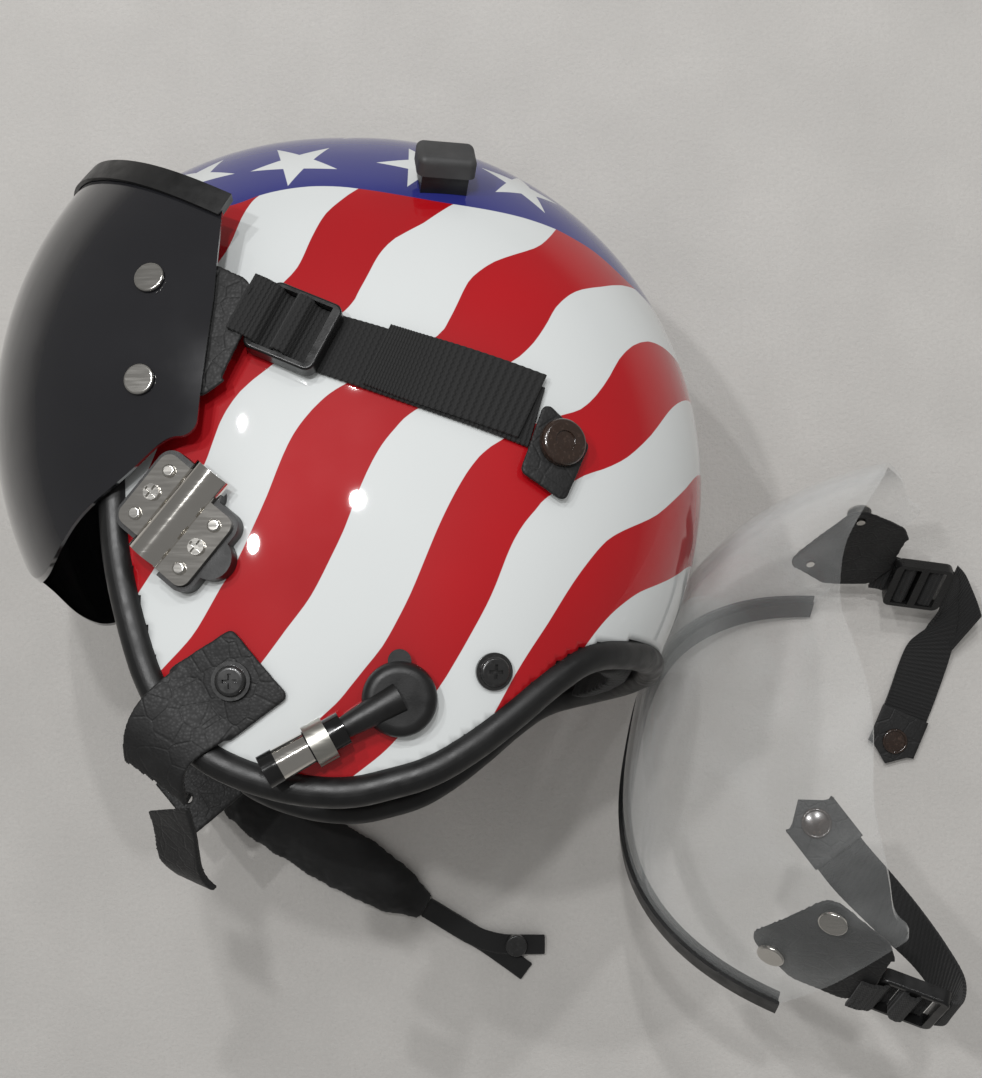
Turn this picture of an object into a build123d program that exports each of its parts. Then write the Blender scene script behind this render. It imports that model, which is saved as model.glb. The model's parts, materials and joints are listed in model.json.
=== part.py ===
from build123d import *
from math import copysign, cos, hypot, pi, radians, sin, sqrt
import os

# Flight helmet lying on its right side, with a spare clear visor beside it.
# The helmet is drawn in its own frame first: X to the back of the head, Y to the
# crown, Z to the wearer's left, origin in the middle plane at the widest level.
# Then it is laid down with Z up. Lengths are millimetres, angles are degrees.

# Shell
SHELL_LENGTH = 270.0
SHELL_HEIGHT = 317.0
CROWN_HEIGHT = 165.0
SKIRT_DEPTH = 152.0
BACK_REACH = 131.5
FRONT_REACH = 195.0
CROWN_FORWARD = 35.0
WIDEST_FORWARD = 8.0
HALF_WIDTH = 118.0
SKIRT_TUCK = 18.0
NAPE_TUCK = 72.0
SHELL_WALL = 3.2
RING_POWER = 2.3
SIDE_POWER = 2.15
EDGE_ROLL_RADIUS = 6.3
EDGE_GAP = 1.7
BROW_LEVEL = 104.0
NAPE_LEVEL = -89.0

# Liner and pads
LINER_GAP = 0.8
PAD_GAP = 0.7
NAPE_PAD_DEPTH = 10.4
LINER_THICKNESS = 14.0
PAD_THICKNESS = 9.0
CUP_LENGTH = 88.0
CUP_WIDTH = 66.0
CUP_DEPTH = 24.0
CUP_WALL = 3.0
SEAL_THICKNESS = 12.0
EARPHONE_RADIUS = 20.0

# Visor
LENS_WALL = 2.5
LENS_ARC_RADIUS = 166.7
LENS_HALF_WIDTH = 127.0
LENS_POWER = 2.8
PIVOT_FORWARD = 21.7
PIVOT_LEVEL = 25.3
LENS_CORNER = 7.0
TRIM_WIDTH = 10.5
TRIM_BITE = 3.0
TRIM_LIP = 1.8
YOKE_THICKNESS = 2.0
YOKE_CORNER = 8.0
RIVET_RADIUS = 6.2
RIVET_HEAD = 1.4

# Straps
WEBBING_WIDTH = 25.4
WEBBING_THICKNESS = 1.8
STRAP_CLEARANCE = 0.5
STRAP_SLOPE = -25.3
BUCKLE_LENGTH = 31.0
BUCKLE_WIDTH = 31.0
BUCKLE_THICKNESS = 6.5
BUCKLE_BAR = 4.0
BUCKLE_SLOT_PLAY = 0.9
TAB_THICKNESS = 2.2
TAB_CORNER = 3.0
SNAP_RADIUS = 9.6
SNAP_HEIGHT = 4.0
POST_RADIUS = 4.0

# Hardware on the shell
SIDE_SCREW_RADIUS = 7.4
SIDE_SCREW_HEAD = 3.2
SHANK_RADIUS = 2.2
DRIVE_WIDTH = 1.3
DRIVE_DEPTH = 1.2
RECEIVER_SPIN = 50.2
RECEIVER_BASE_HEIGHT = 6.5
RECEIVER_CORNER = 4.5
RECEIVER_RIM = 2.0
UPPER_LOBE_LENGTH = 33.0
UPPER_LOBE_WIDTH = 27.5
LOWER_LOBE_LENGTH = 33.0
LOWER_LOBE_WIDTH = 19.5
LOBE_SHIFT = 5.0
SCREW_INSET = 6.1
STUD_PITCH = 10.5
RECEIVER_PLATE_THICKNESS = 2.2
CHANNEL_RADIUS = 8.5
CHANNEL_WALL = 1.4
CHANNEL_SINK = 4.0
CHANNEL_LENGTH = 42.0
CHANNEL_OFFSET = 4.7
RECEIVER_SCREW_RADIUS = 3.2
RECEIVER_HEAD = 1.6
DIMPLE_RADIUS = 2.6
CHIN_PATCH_THICKNESS = 2.4
CHIN_PATCH_CORNER = 2.5
CHIN_WASHER_RADIUS = 7.6
CHIN_SCREW_HEAD = 3.6
FLAP_LENGTH = 85.0
FLAP_WIDTH = 33.0
TONGUE_LENGTH = 46.0
BOOT_RADIUS = 14.5
BOOT_HEIGHT = 9.0
BOOT_NIB = 4.5
LEAD_RADIUS = 4.3
PLUG_TURN = 209.0
PLUG_RISE = 6.0
PLUG_START = 24.0
PLUG_RADIUS = 6.6
PLUG_LENGTH = 15.0
SLEEVE_LENGTH = 13.0
PLUG_NOSE_LENGTH = 6.0
JACK_BORE_RADIUS = 3.2
JACK_BORE_DEPTH = 14.0
CLIP_WIDTH = 8.0
CLIP_WALL = 1.2
BUMPER_LENGTH = 25.0
BUMPER_WIDTH = 17.0
BUMPER_HEIGHT = 17.0

# Chin strap, lying on the ground
CHIN_PAD_THICKNESS = 11.0
CHIN_STRAP_WIDTH = 16.0
CHIN_STRAP_THICKNESS = 2.0
CHIN_TAPE_WIDTH = 11.0
CHIN_PAD_WIDTH = 35.0
CHIN_PAD_LENGTH = 131.0
CHIN_SNAP_RADIUS = 6.0
CHIN_SNAP_HEIGHT = 3.0
CHIN_RUN = 8.0
CHIN_SLACK = 14.0
CHIN_GAP = 2.6
CHIN_DIP = -31.0
CHIN_FORK = 40.0
CHIN_UPPER_TAIL = 32.0
CHIN_LOWER_TAIL = 27.0
CHIN_UPPER_TURN = 31.0
CHIN_LOWER_TURN = -5.0

# How the helmet lies: the crown leans to the ground and the back of the head rises
REST_LEAN = 12.5
REST_YAW = 4.0
HELMET_PLACE_X = -34.5
HELMET_PLACE_Y = 24.9

# How the spare visor lies beside it
SPARE_PLACE_X = 264.0
SPARE_PLACE_Y = -120.3
SPARE_TURN_X = -133.1
SPARE_TURN_Y = 15.8
SPARE_TURN_Z = -30.3

CLEARANCE = 0.3
OVERRUN = 20.0

# Side outlines, as shares of the shell's length (x) and height (y)
RIM_SHARES = [
    (0.340, -0.282),
    (0.300, -0.286),
    (0.265, -0.291),
    (0.232, -0.302),
    (0.184, -0.331),
    (0.138, -0.365),
    (0.072, -0.409),
    (0.007, -0.442),
    (-0.107, -0.466),
    (-0.191, -0.459),
    (-0.262, -0.440),
    (-0.313, -0.418),
    (-0.356, -0.381),
    (-0.394, -0.326),
    (-0.416, -0.271),
    (-0.434, -0.215),
    (-0.447, -0.164),
    (-0.454, -0.107),
    (-0.461, 0.020),
    (-0.470, 0.140),
    (-0.489, 0.240),
    (-0.520, 0.300),
]
LENS_LOWER_SHARES = [
    (-0.360, -0.036),
    (-0.405, -0.062),
    (-0.452, -0.092),
    (-0.507, -0.124),
    (-0.548, -0.158),
    (-0.578, -0.174),
    (-0.604, -0.169),
    (-0.626, -0.150),
    (-0.644, -0.136),
]
LENS_REAR_SHARES = [(-0.298, 0.300), (-0.306, 0.139), (-0.322, 0.012), (-0.328, -0.045)]
LENS_TOP_SHARES = [(-0.298, 0.262), (-0.570, 0.392)]
LINER_SHARES = [
    (-0.72, 0.370),
    (-0.520, 0.370),
    (-0.458, 0.280),
    (-0.430, 0.140),
    (-0.425, -0.030),
    (-0.020, -0.030),
    (0.160, -0.120),
    (0.600, -0.120),
    (0.600, 0.600),
    (-0.720, 0.600),
]
PAD_SHARES = {
    "crown_pad": ((-0.095, 0.480), (0.34, 0.240), 0.32),
    "brow_pad": ((-0.420, 0.405), (0.270, 0.090), 0.38),
    "back_pad": ((0.385, 0.060), (0.330, 0.280), 0.38),
}
CUP_SHARE = (-0.093, -0.230)
NAPE_PAD_SHARES = ((0.300, -0.235), (0.400, 0.130), 0.42)
YOKE_SHARES = [(-0.437, 0.189), (-0.333, 0.203), (-0.252, 0.164), (-0.252, 0.057), (-0.319, 0.016), (-0.437, 0.016)]
RIVET_SHARES = [(-0.402, 0.172), (-0.411, 0.038)]
BUCKLE_SHARE = (-0.189, 0.103)
WEBBING_UPPER_SHARES = [(-0.169, 0.139), (0.024, 0.086), (0.173, 0.039)]
WEBBING_LOWER_SHARES = [(0.110, -0.056), (-0.013, 0.005), (-0.209, 0.066)]
TAB_SHARES = [(0.179, 0.018), (0.247, -0.035), (0.206, -0.113), (0.139, -0.076)]
CHIN_PATCH_SHARES = [(-0.274, -0.269), (-0.192, -0.351), (-0.280, -0.405), (-0.369, -0.316)]
SIDE_SCREW_SHARE = (0.099, -0.321)
CHIN_SCREW_SHARE = (-0.272, -0.330)
SNAP_SHARE = (0.197, -0.037)
RECEIVER_SHARE = (-0.332, -0.138)
BOOT_SHARE = (-0.036, -0.354)
BUMPER_SHARE = (0.033, 0.347)
# Flap stations: out, across and up as shares of its length, heading, dip, roll, width share
FLAP_SHARES = [
    (-0.10, 0.00, 0.000, 0, 0, 0, 1.00),
    (0.07, 0.00, 0.030, 0, 0, 0, 1.00),
    (0.24, 0.02, -0.010, 15, 30, 5, 0.90),
    (0.38, 0.19, -0.190, 50, 38, 35, 0.80),
    (0.48, 0.38, -0.390, 66, 42, 50, 0.74),
    (0.53, 0.56, -0.560, 72, 42, 55, 0.66),
]
# Cushion stations: along the length, width and thickness shares
SLEEVE_SHARES = [(0.0, 0.50, 0.50), (0.10, 0.84, 0.85), (0.30, 1.0, 1.0), (0.62, 1.0, 1.0), (0.86, 0.8, 0.85), (1.0, 0.4, 0.5)]
SLEEVE_EDGE_SHARE = 0.4
PAD_CORNER = 3.5
ROLL_SIDE_SHARES = [0.32, 0.0]
SEAL_OVERHANG = 5.0
EARPHONE_SETBACK = 4.0
BEND_SHARE = 0.45
HEAD_STEP_SHARE = 0.45
CROWN_SHARE = 0.8
LEVEL_STEPS = 7
SKIRT_LEVEL_SHARES = [1.0, 0.75, 0.5, 0.25]
RING_POINTS = 16
PROFILE_STEPS = 12


def at(x_share, y_share):
    """A place in the side view, from shares of the shell's length and height."""
    return x_share * SHELL_LENGTH, y_share * SHELL_HEIGHT


def ring_sizes(level, grow):
    """Front, back, widest place and half width of the shell at one level."""
    reach = BACK_REACH + grow
    front = -FRONT_REACH - grow
    half = HALF_WIDTH + grow
    if level >= 0:
        rise = min(level / (CROWN_HEIGHT + grow), 1.0)
        shrink = sqrt(max(1 - rise**2, 0))
        narrow = max(1 - rise**SIDE_POWER, 0) ** (1 / SIDE_POWER)
        front = -CROWN_FORWARD + (front + CROWN_FORWARD) * shrink
        back = -CROWN_FORWARD + (reach + CROWN_FORWARD) * shrink
        centre = -CROWN_FORWARD + (CROWN_FORWARD - WIDEST_FORWARD) * shrink
        return front, back, centre, half * narrow
    drop = -level / SKIRT_DEPTH
    return front, reach - NAPE_TUCK * drop**2, -WIDEST_FORWARD, half - SKIRT_TUCK * drop**2


def half_width(x, level, grow=0.0):
    """How far the shell stands out sideways at a place in the side view."""
    front, back, centre, half = ring_sizes(level, grow)
    reach = centre - front if x < centre else back - centre
    share = min(abs(x - centre) / reach, 1.0)
    return half * (1 - share**RING_POWER) ** (1 / RING_POWER)


def ring(level, grow):
    front, back, centre, half = ring_sizes(level, grow)
    points = []
    for step in range(RING_POINTS):
        turn = 2 * pi * step / RING_POINTS
        along = cos(turn)
        across = sin(turn)
        reach = back - centre if along > 0 else centre - front
        x = centre + reach * copysign(abs(along) ** (2 / RING_POWER), along)
        z = half * copysign(abs(across) ** (2 / RING_POWER), across)
        points.append((x, level, z))
    return Wire([Spline(*points, periodic=True)])


def dome(grow):
    """The shell's outer form as a closed solid, grown by a distance."""
    rings = []
    for share in SKIRT_LEVEL_SHARES:
        rings.append(ring(-SKIRT_DEPTH * share, grow))
    for step in range(LEVEL_STEPS):
        rings.append(ring((CROWN_HEIGHT + grow) * sin(pi / 2 * step / LEVEL_STEPS), grow))
    rings.append(Vertex(-CROWN_FORWARD, CROWN_HEIGHT + grow, 0))
    return Solid.make_loft(rings)


def seat(x, y, spin=0.0, grow=0.0):
    """A plane on the shell's left side: its Z stands out of the surface."""
    z = half_width(x, y, grow)
    slope_x = half_width(x + 1, y, grow) - half_width(x - 1, y, grow)
    slope_y = half_width(x, y + 1, grow) - half_width(x, y - 1, grow)
    slope_x = slope_x / 2
    slope_y = slope_y / 2
    way = radians(spin)
    along = (cos(way), sin(way), slope_x * cos(way) + slope_y * sin(way))
    return Plane(origin=(x, y, z), x_dir=along, z_dir=(-slope_x, -slope_y, 1))


def rounded(points, radius):
    """A flat outline with its corners rounded."""
    face = make_face(Polyline(*points, close=True))
    return fillet(face.vertices(), radius)


def side_prism(outline):
    """The left half of what an outline in the side view covers."""
    return extrude(outline, HALF_WIDTH + OVERRUN)


def on_right(shape):
    return mirror(shape, about=Plane.XY)


def bend_radii(points):
    """Arcs as large as the runs of a path allow."""
    radii = []
    for before, here, after in zip(points, points[1:], points[2:]):
        run_in = Vector(*here) - Vector(*before)
        run_out = Vector(*after) - Vector(*here)
        half_turn = radians(run_in.get_angle(run_out)) / 2
        radii.append(BEND_SHARE * min(run_in.length, run_out.length) * cos(half_turn) / sin(half_turn))
    return radii


def ribbon(points, width, thickness):
    """A band whose middle follows a path in the XZ plane, with its width along Y."""
    path = FilletPolyline(*points, radius=bend_radii(points))
    profile = Plane(origin=path @ 0, x_dir=(0, 1, 0), z_dir=path % 0) * Rectangle(width, thickness)
    return sweep(profile, path=path)


SKIN = dome(0)
OFF_SKIN = dome(CLEARANCE)
LINER_SPACE = dome(-SHELL_WALL - LINER_GAP)
ON_BASE = (Align.CENTER, Align.CENTER, Align.MIN)


# Outer shell with its trimmed rim and its holes
def outward(x, y, z, grow):
    """Unit vector square to the shell's surface."""
    slopes = []
    for step in ((1, 0, 0), (0, 1, 0), (0, 0, 1)):
        sides = []
        for way in (-1, 1):
            front, back, centre, half = ring_sizes(y + way * step[1], grow)
            along = x + way * step[0] - centre
            reach = back - centre if along > 0 else centre - front
            sides.append((abs(along) / reach) ** RING_POWER + (abs(z + way * step[2]) / half) ** RING_POWER)
        slopes.append(sides[1] - sides[0])
    return Vector(*slopes).normalized()


def rim_path_points():
    """The rim's middle line on the left side, from the nape to the brow."""
    inset = -SHELL_WALL / 2
    places = [at(*share) for share in RIM_SHARES]
    points = [(x, y, half_width(x, y, inset)) for x, y in places]
    for share in ROLL_SIDE_SHARES:
        bend = (1 - share**RING_POWER) ** (1 / RING_POWER)
        front, back, centre, half = ring_sizes(NAPE_LEVEL, inset)
        points.insert(0, (centre + (back - centre) * bend, NAPE_LEVEL, half * share))
        front, back, centre, half = ring_sizes(BROW_LEVEL, inset)
        points.append((centre - (centre - front) * bend, BROW_LEVEL, half * share))
    return points


def edge_places():
    """Where the wall stops short of the edge roll, in the side view."""
    points = rim_path_points()
    mirrored = (points[1][0], points[1][1], -points[1][2])
    ahead = (points[-2][0], points[-2][1], -points[-2][2])
    places = []
    for before, here, after in zip([mirrored] + points, points, points[1:] + [ahead]):
        along = Vector(*after) - Vector(*before)
        up_wall = along.cross(outward(*here, -SHELL_WALL / 2)).normalized()
        if up_wall.Y < 0:
            up_wall = -up_wall
        reach = EDGE_ROLL_RADIUS + EDGE_GAP
        places.append((here[0] + up_wall.X * reach, here[1] + up_wall.Y * reach))
    return places


def rim_curve():
    places = edge_places()
    points = [(BACK_REACH + OVERRUN, places[0][1])] + places + [(-FRONT_REACH, places[-1][1])]
    return Spline(*points)


def shank_hole(plane):
    return plane * Cylinder(SHANK_RADIUS + CLEARANCE, 2 * OVERRUN)


def receiver_plane():
    return seat(*at(*RECEIVER_SHARE), spin=RECEIVER_SPIN)


def upper_lobe_place():
    return 0, UPPER_LOBE_WIDTH / 2 - RECEIVER_HEAD * 2


def lower_lobe_place():
    return -LOBE_SHIFT, RECEIVER_HEAD * 2 - LOWER_LOBE_WIDTH / 2


def screw_places():
    """Middle of the screw row on each half of the receiver."""
    upper_x, upper_y = upper_lobe_place()
    lower_x, lower_y = lower_lobe_place()
    return [
        (upper_x, upper_y + UPPER_LOBE_WIDTH / 2 - SCREW_INSET),
        (lower_x, lower_y - LOWER_LOBE_WIDTH / 2 + SCREW_INSET),
    ]


def make_shell():
    hollow = SKIN - dome(-SHELL_WALL)
    rim = rim_curve()
    far = 2 * SKIRT_DEPTH
    below = Polyline(
        rim @ 1,
        (-FRONT_REACH - far, BROW_LEVEL),
        (-FRONT_REACH - far, -far),
        (BACK_REACH + far, -far),
        (BACK_REACH + far, NAPE_LEVEL),
        rim @ 0,
    )
    shell = hollow - extrude(make_face([rim, below]), HALF_WIDTH + OVERRUN, both=True)
    holes = [shank_hole(seat(*at(*share))) for share in (SIDE_SCREW_SHARE, CHIN_SCREW_SHARE, SNAP_SHARE)]
    holes += [shank_hole(receiver_plane() * Pos(*place)) for place in screw_places()]
    for hole in holes:
        shell -= hole
        shell -= on_right(hole)
    return shell


def make_edge_roll():
    points = rim_path_points()
    path = FilletPolyline(*points, radius=bend_radii(points))
    profile = Plane(origin=path @ 0, z_dir=path % 0) * Circle(EDGE_ROLL_RADIUS)
    half = sweep(profile, path=path)
    return half + on_right(half)


# Foam liner and comfort pads inside
def make_liner():
    outline = Polyline(*[at(*share) for share in LINER_SHARES], close=True)
    block = LINER_SPACE & extrude(make_face(outline), HALF_WIDTH, both=True)
    return block - dome(-SHELL_WALL - LINER_GAP - LINER_THICKNESS)


def padding(outside, inside, shares):
    """A pad between two forms, inside a rounded block set by shares of the shell."""
    (x_share, y_share), (length_share, height_share), half_share = shares
    x, y = at(x_share, y_share)
    length, height = at(length_share, height_share)
    block = Box(length, height, 2 * half_share * HALF_WIDTH)
    return (outside & (Pos(x, y, 0) * fillet(block.edges(), PAD_CORNER))) - inside


def make_pads():
    depth = -SHELL_WALL - LINER_GAP - LINER_THICKNESS - PAD_GAP
    outside = dome(depth)
    inside = dome(depth - PAD_THICKNESS)
    return {name: padding(outside, inside, shares) for name, shares in PAD_SHARES.items()}


def make_nape_pad():
    """A cushion at the nape that lies against the edge roll."""
    return padding(dome(-NAPE_PAD_DEPTH), dome(-NAPE_PAD_DEPTH - PAD_THICKNESS), NAPE_PAD_SHARES)


def oval(length, width):
    return SlotOverall(length, width, rotation=90)


def make_ear_set():
    """Left ear cup, its seal and its earphone."""
    x, y = at(*CUP_SHARE)
    mouth = half_width(x, y) - SHELL_WALL - LINER_GAP - CUP_DEPTH
    room = dome(-SHELL_WALL - LINER_GAP - CUP_WALL)
    outer = extrude(Pos(x, y, mouth) * oval(CUP_LENGTH, CUP_WIDTH), 2 * CUP_DEPTH)
    inner = extrude(Pos(x, y, mouth) * oval(CUP_LENGTH - 2 * CUP_WALL, CUP_WIDTH - 2 * CUP_WALL), 2 * CUP_DEPTH)
    cup = (outer & LINER_SPACE) - (inner & room)
    ring_face = oval(CUP_LENGTH + SEAL_OVERHANG, CUP_WIDTH + SEAL_OVERHANG)
    ring_face -= oval(CUP_LENGTH - 2 * SEAL_THICKNESS, CUP_WIDTH - 2 * SEAL_THICKNESS)
    seal = extrude(Pos(x, y, mouth - SEAL_THICKNESS) * ring_face, SEAL_THICKNESS - CLEARANCE)
    seal = fillet(seal.edges().group_by(Axis.Z)[0], SEAL_THICKNESS / 3)
    room_space = dome(-SHELL_WALL - LINER_GAP - CUP_WALL - PAD_GAP)
    phone = extrude(Pos(x, y, mouth + EARPHONE_SETBACK) * Circle(EARPHONE_RADIUS), 2 * CUP_DEPTH) & room_space
    return cup, seal, phone


# Oxygen mask receivers
def receiver_outline(grow):
    corner = RECEIVER_CORNER + grow
    upper = RectangleRounded(UPPER_LOBE_LENGTH + 2 * grow, UPPER_LOBE_WIDTH + 2 * grow, corner)
    lower = RectangleRounded(LOWER_LOBE_LENGTH + 2 * grow, LOWER_LOBE_WIDTH + 2 * grow, corner)
    return Pos(*upper_lobe_place()) * upper + Pos(*lower_lobe_place()) * lower


def channel_bar(radius, length):
    level = RECEIVER_BASE_HEIGHT + RECEIVER_PLATE_THICKNESS - CHANNEL_SINK
    return Pos(0, CHANNEL_OFFSET, level) * Rot(0, 90, 0) * Cylinder(radius, length)


def cross_slot(plane, top):
    """The two crossed cuts of a screw's drive."""
    arm = Box(2 * RECEIVER_SCREW_RADIUS * HEAD_STEP_SHARE * 2, DRIVE_WIDTH, DRIVE_DEPTH)
    low = Pos(0, 0, top - DRIVE_DEPTH / 2)
    return plane * low * (arm + Rot(0, 0, 90) * arm)


def make_receiver():
    """Left receiver: rubber base, chrome plate with its domed track, screws and studs."""
    plane = receiver_plane()
    footprint = receiver_outline(RECEIVER_RIM)
    foot_x, foot_y = lower_lobe_place()
    footprint += Pos(foot_x, foot_y - LOWER_LOBE_WIDTH / 2) * Circle(CHANNEL_RADIUS)
    base = Pos(0, 0, -OVERRUN / 2) * extrude(footprint, RECEIVER_BASE_HEIGHT + OVERRUN / 2)
    top = RECEIVER_BASE_HEIGHT + RECEIVER_PLATE_THICKNESS
    plate = Pos(0, 0, RECEIVER_BASE_HEIGHT) * extrude(receiver_outline(0), RECEIVER_PLATE_THICKNESS)
    plate += channel_bar(CHANNEL_RADIUS, CHANNEL_LENGTH)
    plate -= channel_bar(CHANNEL_RADIUS - CHANNEL_WALL, 2 * CHANNEL_LENGTH)
    plate -= Pos(0, 0, RECEIVER_BASE_HEIGHT - OVERRUN) * Box(
        2 * CHANNEL_LENGTH, 2 * CHANNEL_LENGTH, OVERRUN, align=ON_BASE
    )
    base -= channel_bar(CHANNEL_RADIUS, 2 * CHANNEL_LENGTH)
    screws = []
    studs = []
    for place in screw_places():
        spot = plane * Pos(*place)
        head = spot * Pos(0, 0, top) * Cylinder(RECEIVER_SCREW_RADIUS, RECEIVER_HEAD, align=ON_BASE)
        length = top + SHELL_WALL
        shank = spot * Pos(0, 0, -SHELL_WALL) * Cylinder(SHANK_RADIUS, length, align=ON_BASE)
        screws.append(head + shank - cross_slot(spot, top + RECEIVER_HEAD))
        hole = Pos(*place) * Cylinder(SHANK_RADIUS + CLEARANCE, 4 * OVERRUN)
        base -= hole
        plate -= hole
        for side in (-STUD_PITCH, STUD_PITCH):
            stud = Pos(place[0] + side, place[1], top) * Cylinder(DIMPLE_RADIUS, RECEIVER_HEAD, align=ON_BASE)
            studs.append(plane * fillet(stud.edges().group_by(Axis.Z)[-1], RECEIVER_HEAD / 2))
    return (plane * base) - OFF_SKIN, plane * plate, screws, studs


# Side screws, chin tabs and snap posts
def button(plane, radius, height, lift, shank):
    """A domed screw head on a flange, with its shank through the wall."""
    step = height * HEAD_STEP_SHARE
    flange = Pos(0, 0, lift) * Cylinder(radius, step, align=ON_BASE)
    crown = Pos(0, 0, lift + step) * Cylinder(radius * CROWN_SHARE, height - step, align=ON_BASE)
    crown = fillet(crown.edges().group_by(Axis.Z)[-1], (height - step) * CROWN_SHARE)
    stem = Pos(0, 0, lift - shank) * Cylinder(SHANK_RADIUS, shank, align=ON_BASE)
    return plane * (flange + crown + stem) - cross_slot(plane, lift + height)


def chin_fold_plane():
    """Middle of the patch's lower edge: X points out past the rim, Z to the wearer's left."""
    first = at(*CHIN_PATCH_SHARES[2])
    last = at(*CHIN_PATCH_SHARES[3])
    middle = ((first[0] + last[0]) / 2, (first[1] + last[1]) / 2)
    edge = Vector(last[0] - first[0], last[1] - first[1], 0).normalized()
    level = half_width(*middle) + CHIN_PATCH_THICKNESS / 2
    return Plane(origin=(*middle, level), x_dir=(-edge.Y, edge.X, 0), z_dir=(0, 0, 1))


def chin_patch():
    outline = rounded([at(*share) for share in CHIN_PATCH_SHARES], CHIN_PATCH_CORNER)
    return (side_prism(outline) & dome(CHIN_PATCH_THICKNESS)) - OFF_SKIN


def band_section(place, heading, dip, roll, width, thickness):
    """One cross-section of a leather band that turns, dips and rolls."""
    turned = Pos(*place) * Rot(0, 0, heading) * Rot(0, dip, 0) * Rot(roll, 0, 0) * Rot(0, 90, 0)
    return turned * Rectangle(thickness, width)


def make_left_tab():
    """Patch with a loose flap that folds over the rim and hangs down."""
    sections = []
    for out, across, up, heading, dip, roll, width_share in FLAP_SHARES:
        place = (out * FLAP_LENGTH, across * FLAP_LENGTH, up * FLAP_LENGTH)
        sections.append(band_section(place, heading, dip, roll, FLAP_WIDTH * width_share, CHIN_PATCH_THICKNESS))
    flap = chin_fold_plane() * loft(sections)
    return chin_patch() + (flap - OFF_SKIN) - shank_hole(seat(*at(*CHIN_SCREW_SHARE)))


def make_right_tab():
    """Patch with a straight tongue past the rim that carries the chin strap."""
    rise = FLAP_LENGTH * FLAP_SHARES[1][2]
    start = FLAP_LENGTH * FLAP_SHARES[0][0]
    run = FLAP_LENGTH * FLAP_SHARES[1][0]
    points = [(start, 0, 0), (run, 0, rise), (TONGUE_LENGTH, 0, rise)]
    tongue = ribbon(points, FLAP_WIDTH, CHIN_PATCH_THICKNESS)
    hole = Pos(TONGUE_LENGTH - CHIN_STRAP_WIDTH / 2, 0, 0) * Cylinder(SHANK_RADIUS + CLEARANCE, 2 * OVERRUN)
    tab = chin_patch() + (chin_fold_plane() * (tongue - hole) - OFF_SKIN)
    return on_right(tab - shank_hole(seat(*at(*CHIN_SCREW_SHARE))))


# Comm lead socket, plug and its clip
def plug_place():
    """Start of the plug's axis above the boot, with X along the plug."""
    x, y = at(*BOOT_SHARE)
    turn = radians(PLUG_TURN)
    level = half_width(x, y) + PLUG_RISE
    return Plane(origin=(x, y, level), x_dir=(cos(turn), sin(turn), 0), z_dir=(0, 0, 1))


def along_plug(start, length, radius, other=None):
    """A round part of the plug between two places on its axis."""
    turned = plug_place() * Pos(start, 0, 0) * Rot(0, 90, 0)
    if other is None:
        return turned * Cylinder(radius, length, align=ON_BASE)
    return turned * Cone(radius, other, length, align=ON_BASE)


def make_boot():
    plane = seat(*at(*BOOT_SHARE))
    body = Cylinder(BOOT_RADIUS, BOOT_HEIGHT + OVERRUN / 2, align=ON_BASE)
    body = fillet(body.edges().group_by(Axis.Z)[-1], BOOT_HEIGHT / 2)
    nib = Pos(0, BOOT_RADIUS, 0) * Cylinder(BOOT_NIB, BOOT_HEIGHT / 2 + OVERRUN / 2, align=ON_BASE)
    boot = plane * Pos(0, 0, -OVERRUN / 2) * (body + nib)
    neck = along_plug(0, PLUG_START, PLUG_RADIUS, LEAD_RADIUS)
    return (boot + neck) - OFF_SKIN


def make_plug():
    """Plug body, chrome sleeve and nose with the jack's bore."""
    sleeve_start = PLUG_START + PLUG_LENGTH
    nose_start = sleeve_start + SLEEVE_LENGTH
    body = along_plug(PLUG_START, PLUG_LENGTH, PLUG_RADIUS)
    groove = along_plug(PLUG_START + PLUG_LENGTH / 2, CLIP_WALL, 2 * PLUG_RADIUS)
    groove -= along_plug(PLUG_START, PLUG_LENGTH, PLUG_RADIUS - CLEARANCE * 2)
    body -= groove
    sleeve = along_plug(sleeve_start, SLEEVE_LENGTH, PLUG_RADIUS - CLEARANCE)
    nose = along_plug(nose_start, PLUG_NOSE_LENGTH, PLUG_RADIUS)
    bore_start = nose_start + PLUG_NOSE_LENGTH - JACK_BORE_DEPTH
    bore = along_plug(bore_start, JACK_BORE_DEPTH + OVERRUN, JACK_BORE_RADIUS)
    return body, sleeve - bore, nose - bore


def make_plug_clip():
    """Spring clip round the plug body, with its foot on the shell."""
    start = PLUG_START + PLUG_LENGTH - CLIP_WIDTH - 2 * CLEARANCE
    wide = PLUG_RADIUS + CLEARANCE + CLIP_WALL
    ring = along_plug(start, CLIP_WIDTH, wide) - along_plug(0, 4 * PLUG_LENGTH, PLUG_RADIUS + CLEARANCE)
    foot = plug_place() * Pos(start + CLIP_WIDTH / 2, 0, CLIP_WALL - wide) * Box(
        CLIP_WIDTH, 2 * wide, OVERRUN, align=(Align.CENTER, Align.CENTER, Align.MAX)
    )
    foot -= OFF_SKIN
    foot -= along_plug(0, 4 * PLUG_LENGTH, PLUG_RADIUS + CLEARANCE)
    return ring + foot


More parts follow.
